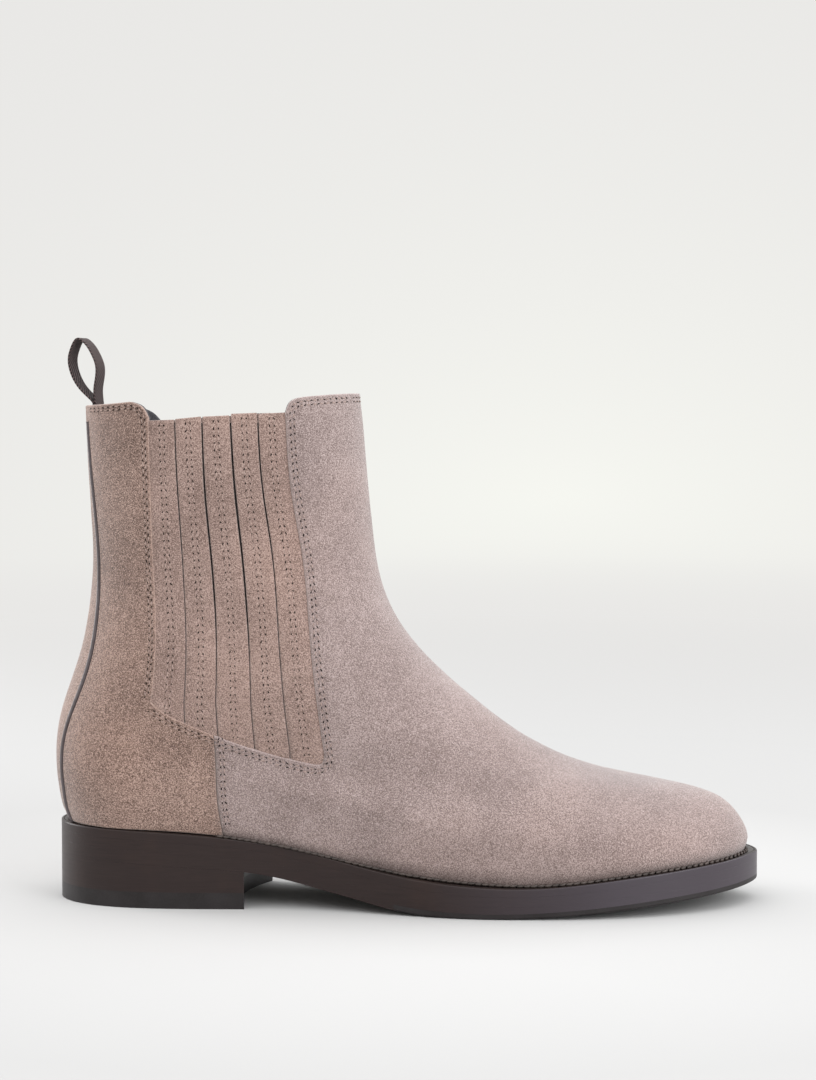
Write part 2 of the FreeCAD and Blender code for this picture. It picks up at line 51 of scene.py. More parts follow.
# ---- The last
BACK_LINE = [(-147.6, 33.8), (-150.2, 40), (-151.8, 48), (-152.8, 57.5), (-152.7, 68), (-150.9, 79.5),
             (-147, 92), (-142.2, 106.5), (-138.3, 124.5), (-136.3, 145), (-137, 168), (-138.5, 191),
             (-139.3, 215)]
FRONT_LINE = [(146.4, 21.4), (148.2, 28), (143.8, 37), (131.5, 45.6), (108, 51.1), (80, 56.4),
              (51, 69.2), (24, 90.7), (2, 113), (-10.5, 137), (-14.9, 165), (-17.5, 192), (-20, 219.3)]
TOP_LEVEL = 12.0
FIRST_LEVEL = 0.03
SAG_SHARES = [0, 0.12, 0.22, 0.33, 0.42, 0.5, 0.6, 0.7, 0.8, 0.9, 1]
SAG = [0, 0.4, -0.2, -3.2, -7.6, -11.2, -13.0, -12.0, -8.0, -3.8, 0]
SAG_LEVELS = 7.0
BREADTH_LEVELS = [0, 2, 4, 6, 8, 10, 12]
BREADTH_SHARES = [0, 0.25, 0.5, 0.75, 1]
OUTER_BREADTH = [(31, 31, 38.5, 47.5, 46), (32, 32.5, 40.5, 49.5, 48), (32.5, 32.5, 39.5, 49, 48),
                 (31.5, 32, 38, 44, 41.5), (30.5, 31.5, 34, 36.5, 33.5), (30, 31, 32, 32, 30),
                 (29, 29.5, 30, 29.5, 28)]
INNER_BREADTH = [(31, 28.5, 29.5, 46, 46), (32, 31, 33, 48.5, 48), (32.5, 31.5, 36, 49, 48),
                 (31.5, 31, 37, 44, 41.5), (30.5, 31, 34, 36.5, 33.5), (30, 31, 32, 32, 30),
                 (29, 29.5, 30, 29.5, 28)]
BACK_ROUND = [0.11, 0.115, 0.13, 0.18, 0.27, 0.33, 0.38]
FRONT_ROUND = [0.33, 0.42, 0.97, 0.75, 0.45, 0.36, 0.34]
SEAM_LEVELS = [0, 2, 4, 6, 8, 10, 12]
SEAM_TURN = [0.072, 0.079, 0.091, 0.122, 0.132, 0.108, 0.076]

# Side-view outlines of the upper's pieces.
GUSSET_REAR = [(-108.1, 208.4), (-106.8, 168.6), (-105.6, 140), (-104.8, 115), (-105.9, 97), (-107, 88)]
GUSSET_FLOOR = [(-107, 88), (-103.8, 85.1), (-90.2, 78), (-69, 70), (-47.7, 64.1), (-37.8, 62)]
GUSSET_CORNER = [(-37.8, 62), (-34.3, 62.4), (-33.2, 66)]
GUSSET_FRONT = [(-33.2, 66), (-35.7, 85.7), (-38.7, 112), (-42.3, 150), (-47, 177), (-49.6, 210.2)]
SIDE_SEAM = [(-80.2, 73.9), (-79.3, 60), (-78.6, 45), (-76.8, 33)]
SEAM_GAP = 0.22
COLLAR_REAR = [(-136, 213.9), (-127, 214.4), (-116.5, 215.3)]
COLLAR_REAR_CORNER = [(-116.5, 215.3), (-111.2, 213.3), (-108.1, 208.4)]
INNER_REAR_CORNER = [(-119.5, 213.0), (-114.6, 210.9), (-110.6, 206.8)]
INNER_COLLAR_REAR = [(-136, 213.9), (-127, 213.5), (-119.5, 213.0)]
COLLAR_FRONT_CORNER = [(-49.6, 210.2), (-47.6, 215.2), (-40, 217.6)]
COLLAR_FRONT = [(-40, 217.6), (-31, 218.4), (-24, 218.9)]
STRIP_SHARES = [0, 0.195, 0.39, 0.6, 0.8, 1]
# The height of each strip's top, and how much higher its front corner is.
STRIP_TOPS = [(207.3, 0.1), (208.1, 0.6), (209.1, 0.1), (210.3, 0.0), (210.3, 0.3)]
# Widths of the slits between the strips, from the collar down: (height, width) pairs.
SLITS = [[(210, 0.45), (175, 0.5), (145, 0.32), (110, 0.28), (70, 0.25)],
         [(210, 0.55), (180, 0.8), (135, 0.8), (112, 0.4), (70, 0.28)],
         [(210, 0.7), (170, 0.95), (130, 0.75), (105, 0.35), (60, 0.28)],
         [(210, 0.55), (165, 0.65), (140, 0.38), (100, 0.3), (60, 0.28)]]

# The bottom.
SOLE_OUTLINE = [(152.7, 4), (149, 15.5), (138, 28), (119, 40), (97, 48), (75, 51.2), (52, 49.6), (30, 43),
                (8, 35), (-18, 29.8), (-45, 29.5), (-75, 32.5), (-105, 33.4), (-128, 29), (-144, 18),
                (-150.9, 0), (-144, -18), (-128, -29), (-105, -33.4), (-75, -33.6), (-45, -34.2),
                (-18, -39.8), (8, -46.6), (30, -50.6), (52, -51.2), (77, -49.6), (100, -44.6), (122, -35),
                (139, -22.5), (149.2, -8.5)]
UNDERSIDE = [(-170, 20.6), (-150, 20.1), (-110, 18.7), (-80, 16.9), (-67, 15.8), (-53, 13.6), (-36, 9.6),
             (-21, 6.2), (-8, 3.2), (5, 1.1), (20, 0.2), (36, 0), (56, 0.7), (80, 2.4), (104, 4.6),
             (129, 6.9), (152, 9), (170, 10.8)]
HALF_SOLE_BACK = [(2, -60), (-12, 0), (2, 60)]
WELT_SHARE = 0.27
MIDSOLE_SHARE = 0.60
HALF_SOLE_SHARE = 0.83

# The pull loop's middle line beside its pivot.
LOOP_LINE = [(-0.5, -1.2), (-0.55, 1.6), (-2.6, 4.1), (-7.3, 8.6), (-11, 15), (-12.1, 20.8),
             (-10.6, 26.4), (-7.9, 29.8), (-4.9, 28.2), (-1.2, 23), (0.7, 18), (0.6, 13), (-0.2, 7.6),
             (0.1, 3), (0.5, -1.2)]
LOOP_PIVOT = (-133.8, 0, 212.9)
LOOP_TWIST = math.radians(-13.5)
LOOP_WIDTH = 9.5
LOOP_THICKNESS = 0.84


def spline(stations, values):
    """The natural cubic spline through the values at the stations, as a function of arrays."""
    xs = np.array(stations, float)
    ys = np.array(values, float)
    steps = np.diff(xs)
    count = len(xs)
    system = np.zeros((count, count))
    right = np.zeros(count)
    system[0, 0] = system[-1, -1] = 1
    for i in range(1, count - 1):
        system[i, i - 1:i + 2] = steps[i - 1], 2 * (steps[i - 1] + steps[i]), steps[i]
        right[i] = 6 * ((ys[i + 1] - ys[i]) / steps[i] - (ys[i] - ys[i - 1]) / steps[i - 1])
    bends = np.linalg.solve(system, right)

    def value(at):
        at = np.asarray(at, float)
        i = np.clip(np.searchsorted(xs, at) - 1, 0, count - 2)
        near = (xs[i + 1] - at) / steps[i]
        far = 1 - near
        bend = (near ** 3 - near) * bends[i] + (far ** 3 - far) * bends[i + 1]
        return near * ys[i] + far * ys[i + 1] + bend * steps[i] ** 2 / 6

    return value


def breadth_table(rows):
    columns = [spline(BREADTH_LEVELS, [row[i] for row in rows]) for i in range(len(BREADTH_SHARES))]
    parts = [spline(BREADTH_SHARES, unit) for unit in np.eye(len(BREADTH_SHARES))]
    return lambda share, level: sum(c(level) * p(share) for c, p in zip(columns, parts))


LEVELS = list(range(len(BACK_LINE)))
back_x, back_z = [spline(LEVELS, values) for values in zip(*BACK_LINE)]
front_x, front_z = [spline(LEVELS, values) for values in zip(*FRONT_LINE)]
sag_at = spline(SAG_SHARES, SAG)
outer_breadth = breadth_table(OUTER_BREADTH)
inner_breadth = breadth_table(INNER_BREADTH)
back_round = spline(BREADTH_LEVELS, BACK_ROUND)
front_round = spline(BREADTH_LEVELS, FRONT_ROUND)
seam_turn = spline(SEAM_LEVELS, SEAM_TURN)
underside_z = spline(*zip(*UNDERSIDE))
half_sole_x = spline(*zip(*[(y, x) for x, y in HALF_SOLE_BACK]))
rear_x = spline(*zip(*[(z, x) for x, z in GUSSET_REAR[::-1]]))
front_edge_x = spline(*zip(*[(z, x) for x, z in GUSSET_FRONT]))
floor_z = spline(*zip(*GUSSET_FLOOR))


def gusset_rear_x(heights):
    return rear_x(np.maximum(heights, GUSSET_REAR[-1][1]))


def gusset_front_x(heights):
    return front_edge_x(np.maximum(heights, GUSSET_FRONT[0][1]))


def gusset_floor_z(x):
    return floor_z(np.clip(x, GUSSET_FLOOR[0][0], GUSSET_FLOOR[-1][0]))


def side_point(share, level):
    x = back_x(level) + (front_x(level) - back_x(level)) * share
    z = back_z(level) + (front_z(level) - back_z(level)) * share
    return x, z + sag_at(share) * np.maximum(0, 1 - level / SAG_LEVELS) ** 2


def quarter_round(share):
    return np.sqrt(1 - (1 - np.clip(share, 0, 1)) ** 2)


def last_point(turn, level):
    turn, level = np.broadcast_arrays(np.asarray(turn, float), np.asarray(level, float))
    side = (turn + 1) % 2 - 1
    share = (1 - np.cos(np.pi * (1 - np.abs(side)))) / 2
    x, z = side_point(share, level)
    breadth = np.where(side < 0, -outer_breadth(share, level), inner_breadth(share, level))
    breadth = breadth * quarter_round(share / back_round(level))
    breadth = breadth * quarter_round((1 - share) / front_round(level))
    return np.stack([x, breadth, z], -1)


def slopes(turn, level, step=0.004):
    """How the last's surface moves with the turn and with the level."""
    around = (last_point(turn + step, level) - last_point(turn - step, level)) / (2 * step)
    upwards = (last_point(turn, level + step) - last_point(turn, level - step)) / (2 * step)
    return around, upwards


def turn_width(turn, level):
    """The distance over the surface that one unit of turn covers."""
    return np.linalg.norm(slopes(turn, level)[0], axis=-1)


def unit(vectors):
    return vectors / np.maximum(np.linalg.norm(vectors, axis=-1, keepdims=True), 1e-9)


def outwards(turn, level):
    return unit(np.cross(*slopes(turn, level)))


def skin_point(turn, level, depth):
    depth = np.broadcast_to(depth, np.shape(turn))
    return last_point(turn, level) - outwards(turn, level) * depth[..., None]


def locate(points, side):
    """The turns and levels of side-view points on the inner (1) or outer (-1) side."""
    x, z = np.array(points, float).T
    level = np.clip((z - 20) / 16, 0, TOP_LEVEL)
    for _ in range(60):
        share = np.clip((x - back_x(level)) / (front_x(level) - back_x(level)), 0, 1)
        rise = (side_point(share, level + 0.01)[1] - side_point(share, level)[1]) / 0.01
        level = np.clip(level + 0.7 * (z - side_point(share, level)[1]) / rise, -0.5, 12.5)
    return np.stack([side * (1 - np.arccos(1 - 2 * share) / np.pi), level], -1)


def travelled_along(points):
    """The distance travelled at each point of a line."""
    return np.concatenate([[0], np.cumsum(np.linalg.norm(np.diff(points, axis=0), axis=1))])


def smooth(points, step=1.2, closed=False):
    """Evenly spaced points of a smooth curve through the given ones."""
    points = np.array(points, float)
    count = len(points)
    if closed:
        points = np.vstack([points[-4:], points, points[:5]])
    at = travelled_along(points)
    curve = [spline(at, values) for values in points.T]
    first, last = (at[4], at[4 + count]) if closed else (at[0], at[-1])
    steps = max(2, round((last - first) / step))
    return np.stack([c(np.linspace(first, last, steps + 1)) for c in curve], -1)[:steps if closed else None]


def chain(*stretches):
    """One closed outline of (turn, level) points, anticlockwise, from stretches that meet end to end."""
    points = np.vstack([stretch[:-1] for stretch in stretches])
    ahead = np.roll(points, -1, 0)
    area = np.sum(points[:, 0] * ahead[:, 1] - ahead[:, 0] * points[:, 1])
    return points if area > 0 else points[::-1]


def offset(path, distance, closed=False):
    """The (turn, level) path moved to its left over the surface by a distance."""
    if closed:
        along = np.roll(path, -1, 0) - np.roll(path, 1, 0)
    else:
        along = np.gradient(path, axis=0)
    steps = np.stack(slopes(*path.T), 1)
    metric = np.einsum("nid,njd->nij", steps, steps)
    left = np.linalg.solve(metric, np.stack([-along[:, 1], along[:, 0]], -1)[..., None])[..., 0]
    size = np.sqrt(np.einsum("ni,nij,nj->n", left, metric, left))
    return path + left / size[:, None] * distance


def is_inside(points, outline):
    """Which points lie inside a closed plane outline."""
    result = np.zeros(len(points), bool)
    for (x0, y0), (x1, y1) in zip(outline, np.roll(outline, -1, 0)):
        if y0 != y1:
            crosses = (y0 > points[:, 1]) != (y1 > points[:, 1])
            result ^= crosses & (points[:, 0] < (x1 - x0) * (points[:, 1] - y0) / (y1 - y0) + x0)
    return result


def grid_inside(outline, step, stagger=0.0):
    """Evenly spaced points inside a closed plane outline, with every second row moved by the stagger."""
    low, high = outline.min(0), outline.max(0)
    xs, ys = np.meshgrid(np.arange(low[0], high[0], step), np.arange(low[1], high[1], step))
    xs = xs + (np.arange(len(xs)) % 2)[:, None] * stagger
    grid = np.stack([xs.ravel(), ys.ravel()], -1)
    return grid[is_inside(grid, outline)]


def edge_distance(points, outline):
    """The distance in space of (n, 3) points from a closed (m, 3) outline."""
    along = np.roll(outline, -1, 0) - outline
    size = np.maximum((along ** 2).sum(-1), 1e-9)
    best = np.empty(len(points))
    for i in range(0, len(points), 800):
        part = points[i:i + 800, None, :] - outline[None]
        share = np.clip((part * along[None]).sum(-1) / size, 0, 1)
        best[i:i + 800] = np.sqrt(((part - share[..., None] * along[None]) ** 2).sum(-1).min(1))
    return best


def triangulate(outline, inner):
    """Triangles over a closed plane outline and points inside it. The outline's points come first."""
    points = [Vector(p) for p in np.vstack([outline, inner])]
    made = delaunay_2d_cdt(points, [], [list(range(len(outline)))], 1, 1e-7)
    source = [ids[0] for ids in made[3]]
    return [[source[i] for i in face] for face in made[2]]


# ---- Meshes
def add_object(name, data):
    made = bpy.data.objects.new(name, data)
    bpy.context.scene.collection.objects.link(made)
    return made


def add_piece(name, points, faces, material, body="boot", sharp=48, uvs=None):
    """An object from points in millimetres. It rides on a body and takes a material slot's finish."""
    mesh = bpy.data.meshes.new(name)
    mesh.from_pydata((np.asarray(points) * MM).tolist(), [], faces)
    mesh.polygons.foreach_set("use_smooth", np.ones(len(mesh.polygons), bool))
    if sharp:
        mesh.set_sharp_from_angle(angle=math.radians(sharp))
    if uvs is not None:
        layer = mesh.uv_layers.new(name="UVMap")
        corners = np.empty(len(mesh.loops), np.int32)
        mesh.loops.foreach_get("vertex_index", corners)
        layer.data.foreach_set("uv", np.asarray(uvs, float)[corners].ravel())
    mesh.validate()
    mesh.materials.append(material)
    piece = add_object(name, mesh)
    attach(piece, body)
    return piece


RINGS = (0.22, 0.5, 0.85, 1.3, 1.9, 2.7, 3.6)
# Depths of each layer's outer and inner face below the boot's surface.
SUEDE_DEPTHS = (0, 1.7)
STRIP_DEPTHS = (0.55, 1.8)
GORE_DEPTHS = (1.95, 2.85)
LINING_DEPTHS = (2.95, 3.85)


def panel(name, outline, depths, material, outer_relief, inner_relief=None, step=2.4):
    """A piece of leather between two depths, over a closed (turn, level) outline.

    A relief gives the extra depth of a face by the distance from the outline and the (turn, level).
    """
    border = last_point(*outline.T)
    stretch = np.array([200.0, 17.0])
    extra = []
    for distance in RINGS:
        ring = offset(outline, distance, closed=True)
        gap = edge_distance(last_point(*ring.T), border)
        extra.append(ring[(gap > 0.93 * distance) & is_inside(ring * stretch, outline * stretch)])
    grid = grid_inside(outline * stretch, step, step / 2) / stretch
    gap = edge_distance(last_point(*grid.T), border)
    inside = np.vstack(extra + [grid[gap > RINGS[-1] + 0.6 * step]])
    places = np.vstack([outline, inside])
    faces = triangulate(outline * stretch, inside * stretch)
    gap = edge_distance(last_point(*places.T), border)
    gap[:len(outline)] = 0
    count = len(places)
    outer, inner = depths
    top = skin_point(*places.T, outer + outer_relief(gap, places))
    bottom = skin_point(*places.T, inner - (inner_relief(gap, places) if inner_relief else 0))
    border_count = len(outline)
    rim = [(i, count + i, count + (i + 1) % border_count, (i + 1) % border_count)
           for i in range(border_count)]
    faces = faces + [[count + i for i in face[::-1]] for face in faces] + rim
    piece = add_piece(name, np.vstack([top, bottom]), faces, material,
                      uvs=np.vstack([places, places]))
    layer = piece.data.attributes.new("edge_distance", "FLOAT", "POINT")
    layer.data.foreach_set("value", np.concatenate([gap, gap]))
    return piece


def waves(places, size, seed):
    """Smooth noise between about -1 and 1 over the surface, with swells of a size in millimetres."""
    points = last_point(*places.T) / size + seed
    return np.array([noise.noise(Vector(p)) for p in points])


def roll(gap, radius):
    """The depth that a rounded edge adds."""
    return radius - np.sqrt(np.maximum(0, radius ** 2 - np.maximum(0, radius - gap) ** 2))


def groove(gap, at, width, depth):
    return depth * np.exp(-((gap - at) / width) ** 2)


def grid_faces(rows, count, closed_rows, closed_count, flipped=False):
    """Quads between rows of points. Either direction can close on itself."""
    faces = []
    for k in range(rows if closed_rows else rows - 1):
        start, after = k * count, (k + 1) % rows * count
        for i in range(count if closed_count else count - 1):
            j = (i + 1) % count
            face = (start + i, after + i, after + j, start + j)
            faces.append((face[0], *face[:0:-1]) if flipped else face)
    return faces


def end_faces(rows, count):
    """The two faces that close the ends of a swept strip of rows."""
    return [[k * count for k in range(rows)], [k * count + count - 1 for k in range(rows)][::-1]]


def ring_sweep(outline, profile, closed_profile=False):
    """Rings of points and faces of a profile carried round a closed plane outline.

    A profile entry is an inset from the outline and a height as a function of x.
    """
    along = unit(np.roll(outline, -1, 0) - np.roll(outline, 1, 0))
    normal = np.stack([along[:, 1], -along[:, 0]], -1)
    rings = []
    for inset, height in profile:
        place = outline - normal * inset
        rings.append(np.column_stack([place, height(place[:, 0])]))
    return rings, grid_faces(len(profile), len(outline), closed_profile, True)


def cap(outline, height):
    """Points and triangles inside a plane outline."""
    grid = grid_inside(outline, 6.0)
    flat = np.column_stack([grid, np.zeros(len(grid))])
    border = np.column_stack([outline, np.zeros(len(outline))])
    grid = grid[edge_distance(flat, border) > 0.3]
    return np.column_stack([grid, height(grid[:, 0])]), triangulate(outline, grid)


def bevel(size, height, sign):
    """Profile entries of a rounded edge. sign is 1 for an upper edge and -1 for a lower one."""
    entries = []
    for angle in np.radians((0, 30, 60, 90)):
        drop = size * (1 - math.cos(angle)) * sign
        entries.append((size * (1 - math.sin(angle)), lambda x, drop=drop: height(x) - drop))
    return entries if sign > 0 else entries[::-1]


FLAT_FROM = 0.12


def plate(name, outline, top, bottom, material, slot, bevels):
    """A solid layer of the sole or heel, with rounded edges."""
    profile = bevel(bevels[0], top, 1)
    profile.append((0, lambda x: top(x) - bevels[0] - FLAT_FROM))
    profile.append((0, lambda x: bottom(x) + bevels[1] + FLAT_FROM))
    profile += bevel(bevels[1], bottom, -1)
    rings, faces = ring_sweep(outline, profile)
    count = len(outline)
    points = np.vstack(rings)
    for row, height, flip in ((0, top, False), (len(profile) - 1, bottom, True)):
        inner, triangles = cap(rings[row][:, :2], height)
        start = len(points)
        points = np.vstack([points, inner])
        ids = list(range(row * count, (row + 1) * count)) + list(range(start, start + len(inner)))
        for face in triangles:
            face = [ids[i] for i in face]
            faces.append(face[::-1] if flip else face)
    return add_piece(name, points, faces, material)


def turned_rings(profile, around):
    """Points of a profile of (radius, height) pairs turned about the upright axis."""
    turns = [2 * math.pi * i / around for i in range(around)]
    return [(radius * math.cos(turn), radius * math.sin(turn), height)
            for radius, height in profile for turn in turns]


def blob(rings, around=8, whole=False):
    """Points and faces of a small round button, a dome or a whole ball, of unit half-sizes."""
    heights = np.linspace(-math.pi / 2 if whole else 0, math.pi / 2, rings + 1)
    points = turned_rings([(math.cos(angle), math.sin(angle)) for angle in heights[:-1]], around)
    points.append((0, 0, 1))
    faces = grid_faces(rings, around, False, True, flipped=True)
    last = (rings - 1) * around
    for i in range(around):
        faces.append((last + i, last + (i + 1) % around, rings * around))
    return np.array(points), faces


def leaned(centre, along, across, up, angle):
    """A place turned about its own upward direction."""
    turned = along * math.cos(angle) + across * math.sin(angle)
    return centre, turned, np.cross(up, turned), up


def scatter(name, places, sizes, shape, material):
    """One object of many copies of a shape. A place is a centre and its three directions."""
    points, faces = [], []
    base, base_faces = shape
    for number, ((centre, along, across, up), (length, width, height)) in enumerate(zip(places, sizes)):
        scaled = base * (length, width, height)
        points.append(centre + scaled[:, :1] * along + scaled[:, 1:2] * across + scaled[:, 2:] * up)
        start = number * len(base)
        faces.extend([tuple(start + i for i in face) for face in base_faces])
    return add_piece(name, np.vstack(points), faces, material, sharp=0)


def along_path(path, pitch, depth, margin):
    """Centres and directions at even steps along a (turn, level) path, at a depth below the surface."""
    line = skin_point(*path.T, depth)
    travelled = travelled_along(line)
    count = int((travelled[-1] - 2 * margin) / pitch)
    at = margin + pitch * np.arange(count + 1)
    turns, levels = [np.interp(at, travelled, values) for values in path.T]
    centres = skin_point(turns, levels, depth)
    up = outwards(turns, levels)
    along = unit(np.gradient(centres, axis=0))
    return [(c, a, np.cross(u, a), u) for c, a, u in zip(centres, along, up)]


# ---- Materials
class Look:
    """A material under construction. Each method adds nodes and returns the output socket."""

    def __init__(self, name, roughness, specular=0.5, sheen=0.0, coat=0.0):
        self.material = bpy.data.materials.new(name)
        self.material.use_nodes = True
        self.tree = self.material.node_tree
        self.shader = self.tree.nodes["Principled BSDF"]
        self.fill(self.shader, {"Roughness": roughness, "Specular IOR Level": specular,
                                "Sheen Weight": sheen, "Sheen Roughness": 0.5,
                                "Coat Weight": coat, "Coat Roughness": 0.3})
        self.place = self.node("ShaderNodeTexCoord").outputs["Object"]

    def fill(self, made, inputs):
        """Set or link a node's inputs, given in order or by name."""
        for key, value in inputs.items() if isinstance(inputs, dict) else enumerate(inputs):
            if isinstance(value, bpy.types.NodeSocket):
                self.tree.links.new(value, made.inputs[key])
            else:
                made.inputs[key].default_value = value

    def node(self, kind, inputs=(), **settings):
        made = self.tree.nodes.new(kind)
        for key, value in settings.items():
            setattr(made, key, value)
        self.fill(made, inputs)
        return made

    def uv(self):
        return self.node("ShaderNodeUVMap", uv_map="UVMap").outputs[0]

    def part(self, vector, axis):
        return self.node("ShaderNodeSeparateXYZ", (vector,)).outputs[axis]

    def scaled(self, vector, scale, turned=(0, 0, 0)):
        inputs = {"Vector": vector, "Scale": scale, "Rotation": turned}
        return self.node("ShaderNodeMapping", inputs).outputs[0]

    def noise(self, scale, detail=3.0, roughness=0.55, vector=None, distortion=0.0):
        inputs = {"Vector": vector or self.place, "Scale": scale, "Detail": detail,
                  "Roughness": roughness, "Distortion": distortion}
        return self.node("ShaderNodeTexNoise", inputs).outputs["Fac"]

    def wave(self, scale, vector, direction="X", distortion=0.0):
        inputs = {"Vector": vector, "Scale": scale, "Distortion": distortion}
        return self.node("ShaderNodeTexWave", inputs, wave_type="BANDS",
                         bands_direction=direction).outputs["Fac"]

    def math(self, operation, first, second=0.0, third=0.0):
        return self.node("ShaderNodeMath", (first, second, third), operation=operation).outputs[0]

    def ranged(self, value, low, high, to_low=0.0, to_high=1.0):
        return self.node("ShaderNodeMapRange", (value, low, high, to_low, to_high)).outputs[0]

    def ramp(self, value, stops):
        made = self.node("ShaderNodeValToRGB", (value,))
        elements = made.color_ramp.elements
        while len(elements) < len(stops):
            elements.new(0.5)
        for element, (at, colour) in zip(elements, stops):
            element.position = at
            element.color = (*colour, 1)
        return made.outputs[0]

    def mix(self, share, first, second, blend="MIX"):
        first, second = [value if isinstance(value, bpy.types.NodeSocket) else (*value, 1)
                         for value in (first, second)]
        return self.node("ShaderNodeMix", {0: share, 6: first, 7: second}, data_type="RGBA",
                         blend_type=blend).outputs[2]

    def bump(self, height, distance, strength=1.0, under=None):
        inputs = {"Strength": strength, "Distance": distance, "Height": height}
        if under is not None:
            inputs["Normal"] = under
        return self.node("ShaderNodeBump", inputs).outputs[0]

    def finish(self, colour, normal=None, roughness=None):
        given = {"Base Color": colour, "Normal": normal, "Roughness": roughness}
        self.fill(self.shader, {key: value for key, value in given.items() if value is not None})
        return self.material


def suede(name, dark, middle, light, cut_edge, welt_darkening=0.0):
    """Brushed leather, paler at its cut edges. It is darker in a band beside the welt, where the level is
    near 0.
    """
    look = Look(name, 0.95, specular=0.1, sheen=0.42)
    nap = look.noise(1900, detail=3, roughness=0.7, distortion=0.3)
    fine = look.noise(3400, detail=2, roughness=0.6)
    brushed = look.noise(330, detail=2, vector=look.scaled(look.place, (1, 1, 0.6), (0, 0.6, 0)))
    clouds = look.noise(26, detail=3)
    tone = 0.5
    for grain, strength in ((nap, 2.6), (fine, 1.3), (brushed, 0.2), (clouds, 0.6)):
        tone = look.math("MULTIPLY_ADD", look.math("SUBTRACT", grain, 0.5), strength, tone)
    colour = look.ramp(tone, [(0.15, dark), (0.5, middle), (0.85, light)])
    warmth = look.ranged(look.noise(13, detail=2), 0.46, 0.68, 0, 0.34)
    colour = look.mix(warmth, colour, (0.96, 0.87, 0.81), "MULTIPLY")
    edge = look.node("ShaderNodeAttribute", attribute_name="edge_distance").outputs["Fac"]
    colour = look.mix(look.ranged(edge, 0.05, 0.7, cut_edge, 0.0), colour, tuple(1.12 * c for c in light))
    # Darker beside the welt, fading out by a level of about 1.
    if welt_darkening:
        level = look.math("MULTIPLY_ADD", clouds, 0.3, look.part(look.uv(), "Y"))
        darkness = look.math("POWER", look.ranged(level, 0.25, 0.95, 1.0, 0.0), 1.5)
        colour = look.mix(look.math("MULTIPLY", darkness, welt_darkening), colour, (0.03, 0.018, 0.014))
    normal = look.bump(brushed, 0.0002, 0.2)
    normal = look.bump(nap, 0.00036, 1.0, normal)
    normal = look.bump(fine, 0.00012, 0.8, normal)
    return look.finish(colour, normal)


def sole_edge(name, dark, light, warm, pale=(0.05, 0.041, 0.049)):
    """Burnished and waxed leather. The pale colour toward the toe stands in for light reflected there."""
    look = Look(name, 0.36, specular=0.26, coat=0.05)
    streaks = look.noise(1.0, detail=3, roughness=0.6, vector=look.scaled(look.place, (60, 60, 1500)))
    lines = look.noise(1.0, detail=2, vector=look.scaled(look.place, (90, 90, 3600)))
    blotches = look.noise(60, detail=3)
    tone = look.math("MULTIPLY_ADD", lines, 0.4, look.math("MULTIPLY", streaks, 0.6))
    colour = look.ramp(tone, [(0.3, dark), (0.7, light)])
    colour = look.mix(look.ranged(blotches, 0.52, 0.8, 0, 0.35), colour, warm)
    colour = look.mix(look.ranged(look.part(look.place, "X"), 0.01, 0.09), colour, pale)
    normal = look.bump(lines, 0.00002, 0.3)
    normal = look.bump(streaks, 0.00002, 0.2, normal)
    return look.finish(colour, normal, look.ranged(tone, 0.3, 0.7, 0.42, 0.34))


def grained(name, colour, second, roughness, scale=900, depth=0.00012, specular=0.4, coat=0.0):
    look = Look(name, roughness, specular=specular, coat=coat)
    cells = look.noise(scale, detail=4, roughness=0.6)
    patches = look.noise(scale / 18, detail=3)
    share = look.ranged(look.math("MULTIPLY_ADD", patches, 0.6, look.math("MULTIPLY", cells, 0.4)),
                        0.35, 0.65)
    return look.finish(look.mix(share, colour, second), look.bump(cells, depth, 0.7))


def elastic_look(name):
    look = Look(name, 0.85, specular=0.2, sheen=0.15)
    ribs = look.wave(240, look.place, "X")
    threads = look.wave(420, look.place, "Z", 0.6)
    height = look.math("MULTIPLY_ADD", threads, 0.35, ribs)
    colour = look.mix(ribs, (0.008, 0.007, 0.007), (0.035, 0.03, 0.029))
    return look.finish(colour, look.bump(height, 0.0003, 0.8))


def webbing_look(name):
    look = Look(name, 0.85, specular=0.15, sheen=0.08)
    flow = look.uv()
    twill = look.wave(250, look.scaled(flow, (1, 1, 1), (0, 0, 0.62)), "X", 0.25)
    cross = look.wave(620, flow, "Y", 0.4)
    speckle = look.noise(2600, detail=2)
    tone = look.math("MULTIPLY_ADD", cross, 0.16, look.math("MULTIPLY", twill, 0.66))
    tone = look.math("MULTIPLY_ADD", speckle, 0.3, tone)
    colour = look.ramp(tone, [(0.15, (0.0055, 0.0034, 0.0033)), (0.5, (0.021, 0.0135, 0.013)),
                              (0.9, (0.13, 0.092, 0.088))])
    return look.finish(colour, look.bump(tone, 0.0003, 1.0))


def stage_look(name):
    """Diffuse near the boot, where it takes shadows, and softly shining farther out. Close round the boot it
    is paler, as painted light that lifts the boot's own shade on the floor.
    """
    look = Look(name, 0.9, specular=0.0)
    reach = look.node("ShaderNodeVectorMath", (look.place,), operation="LENGTH").outputs["Value"]
    share = look.ranged(reach, 0.55, 1.5)
    mottle = look.noise(2.5, detail=2)
    near = look.mix(mottle, STAGE_NEAR, tuple(c * 1.004 for c in STAGE_NEAR))
    # Paler within a short reach of the boot: painted light against its shade on the floor.
    near = look.mix(look.ranged(reach, 0.13, 0.3), near, STAGE_ROUND)
    away = look.node("ShaderNodeVectorMath", (look.place, (0.12, 3.0, 0.1)), operation="DISTANCE")
    glow = look.ranged(look.math("DIVIDE", away.outputs["Value"], 1.6), 0.0, 1.0, 1.0, 0.0)
    glow = look.math("POWER", glow, 1.6)
    look.fill(look.shader, {"Emission Color": look.mix(glow, STAGE_FAR, STAGE_GLOW),
                            "Emission Strength": share})
    return look.finish(look.mix(share, near, (0.0, 0.0, 0.0)))
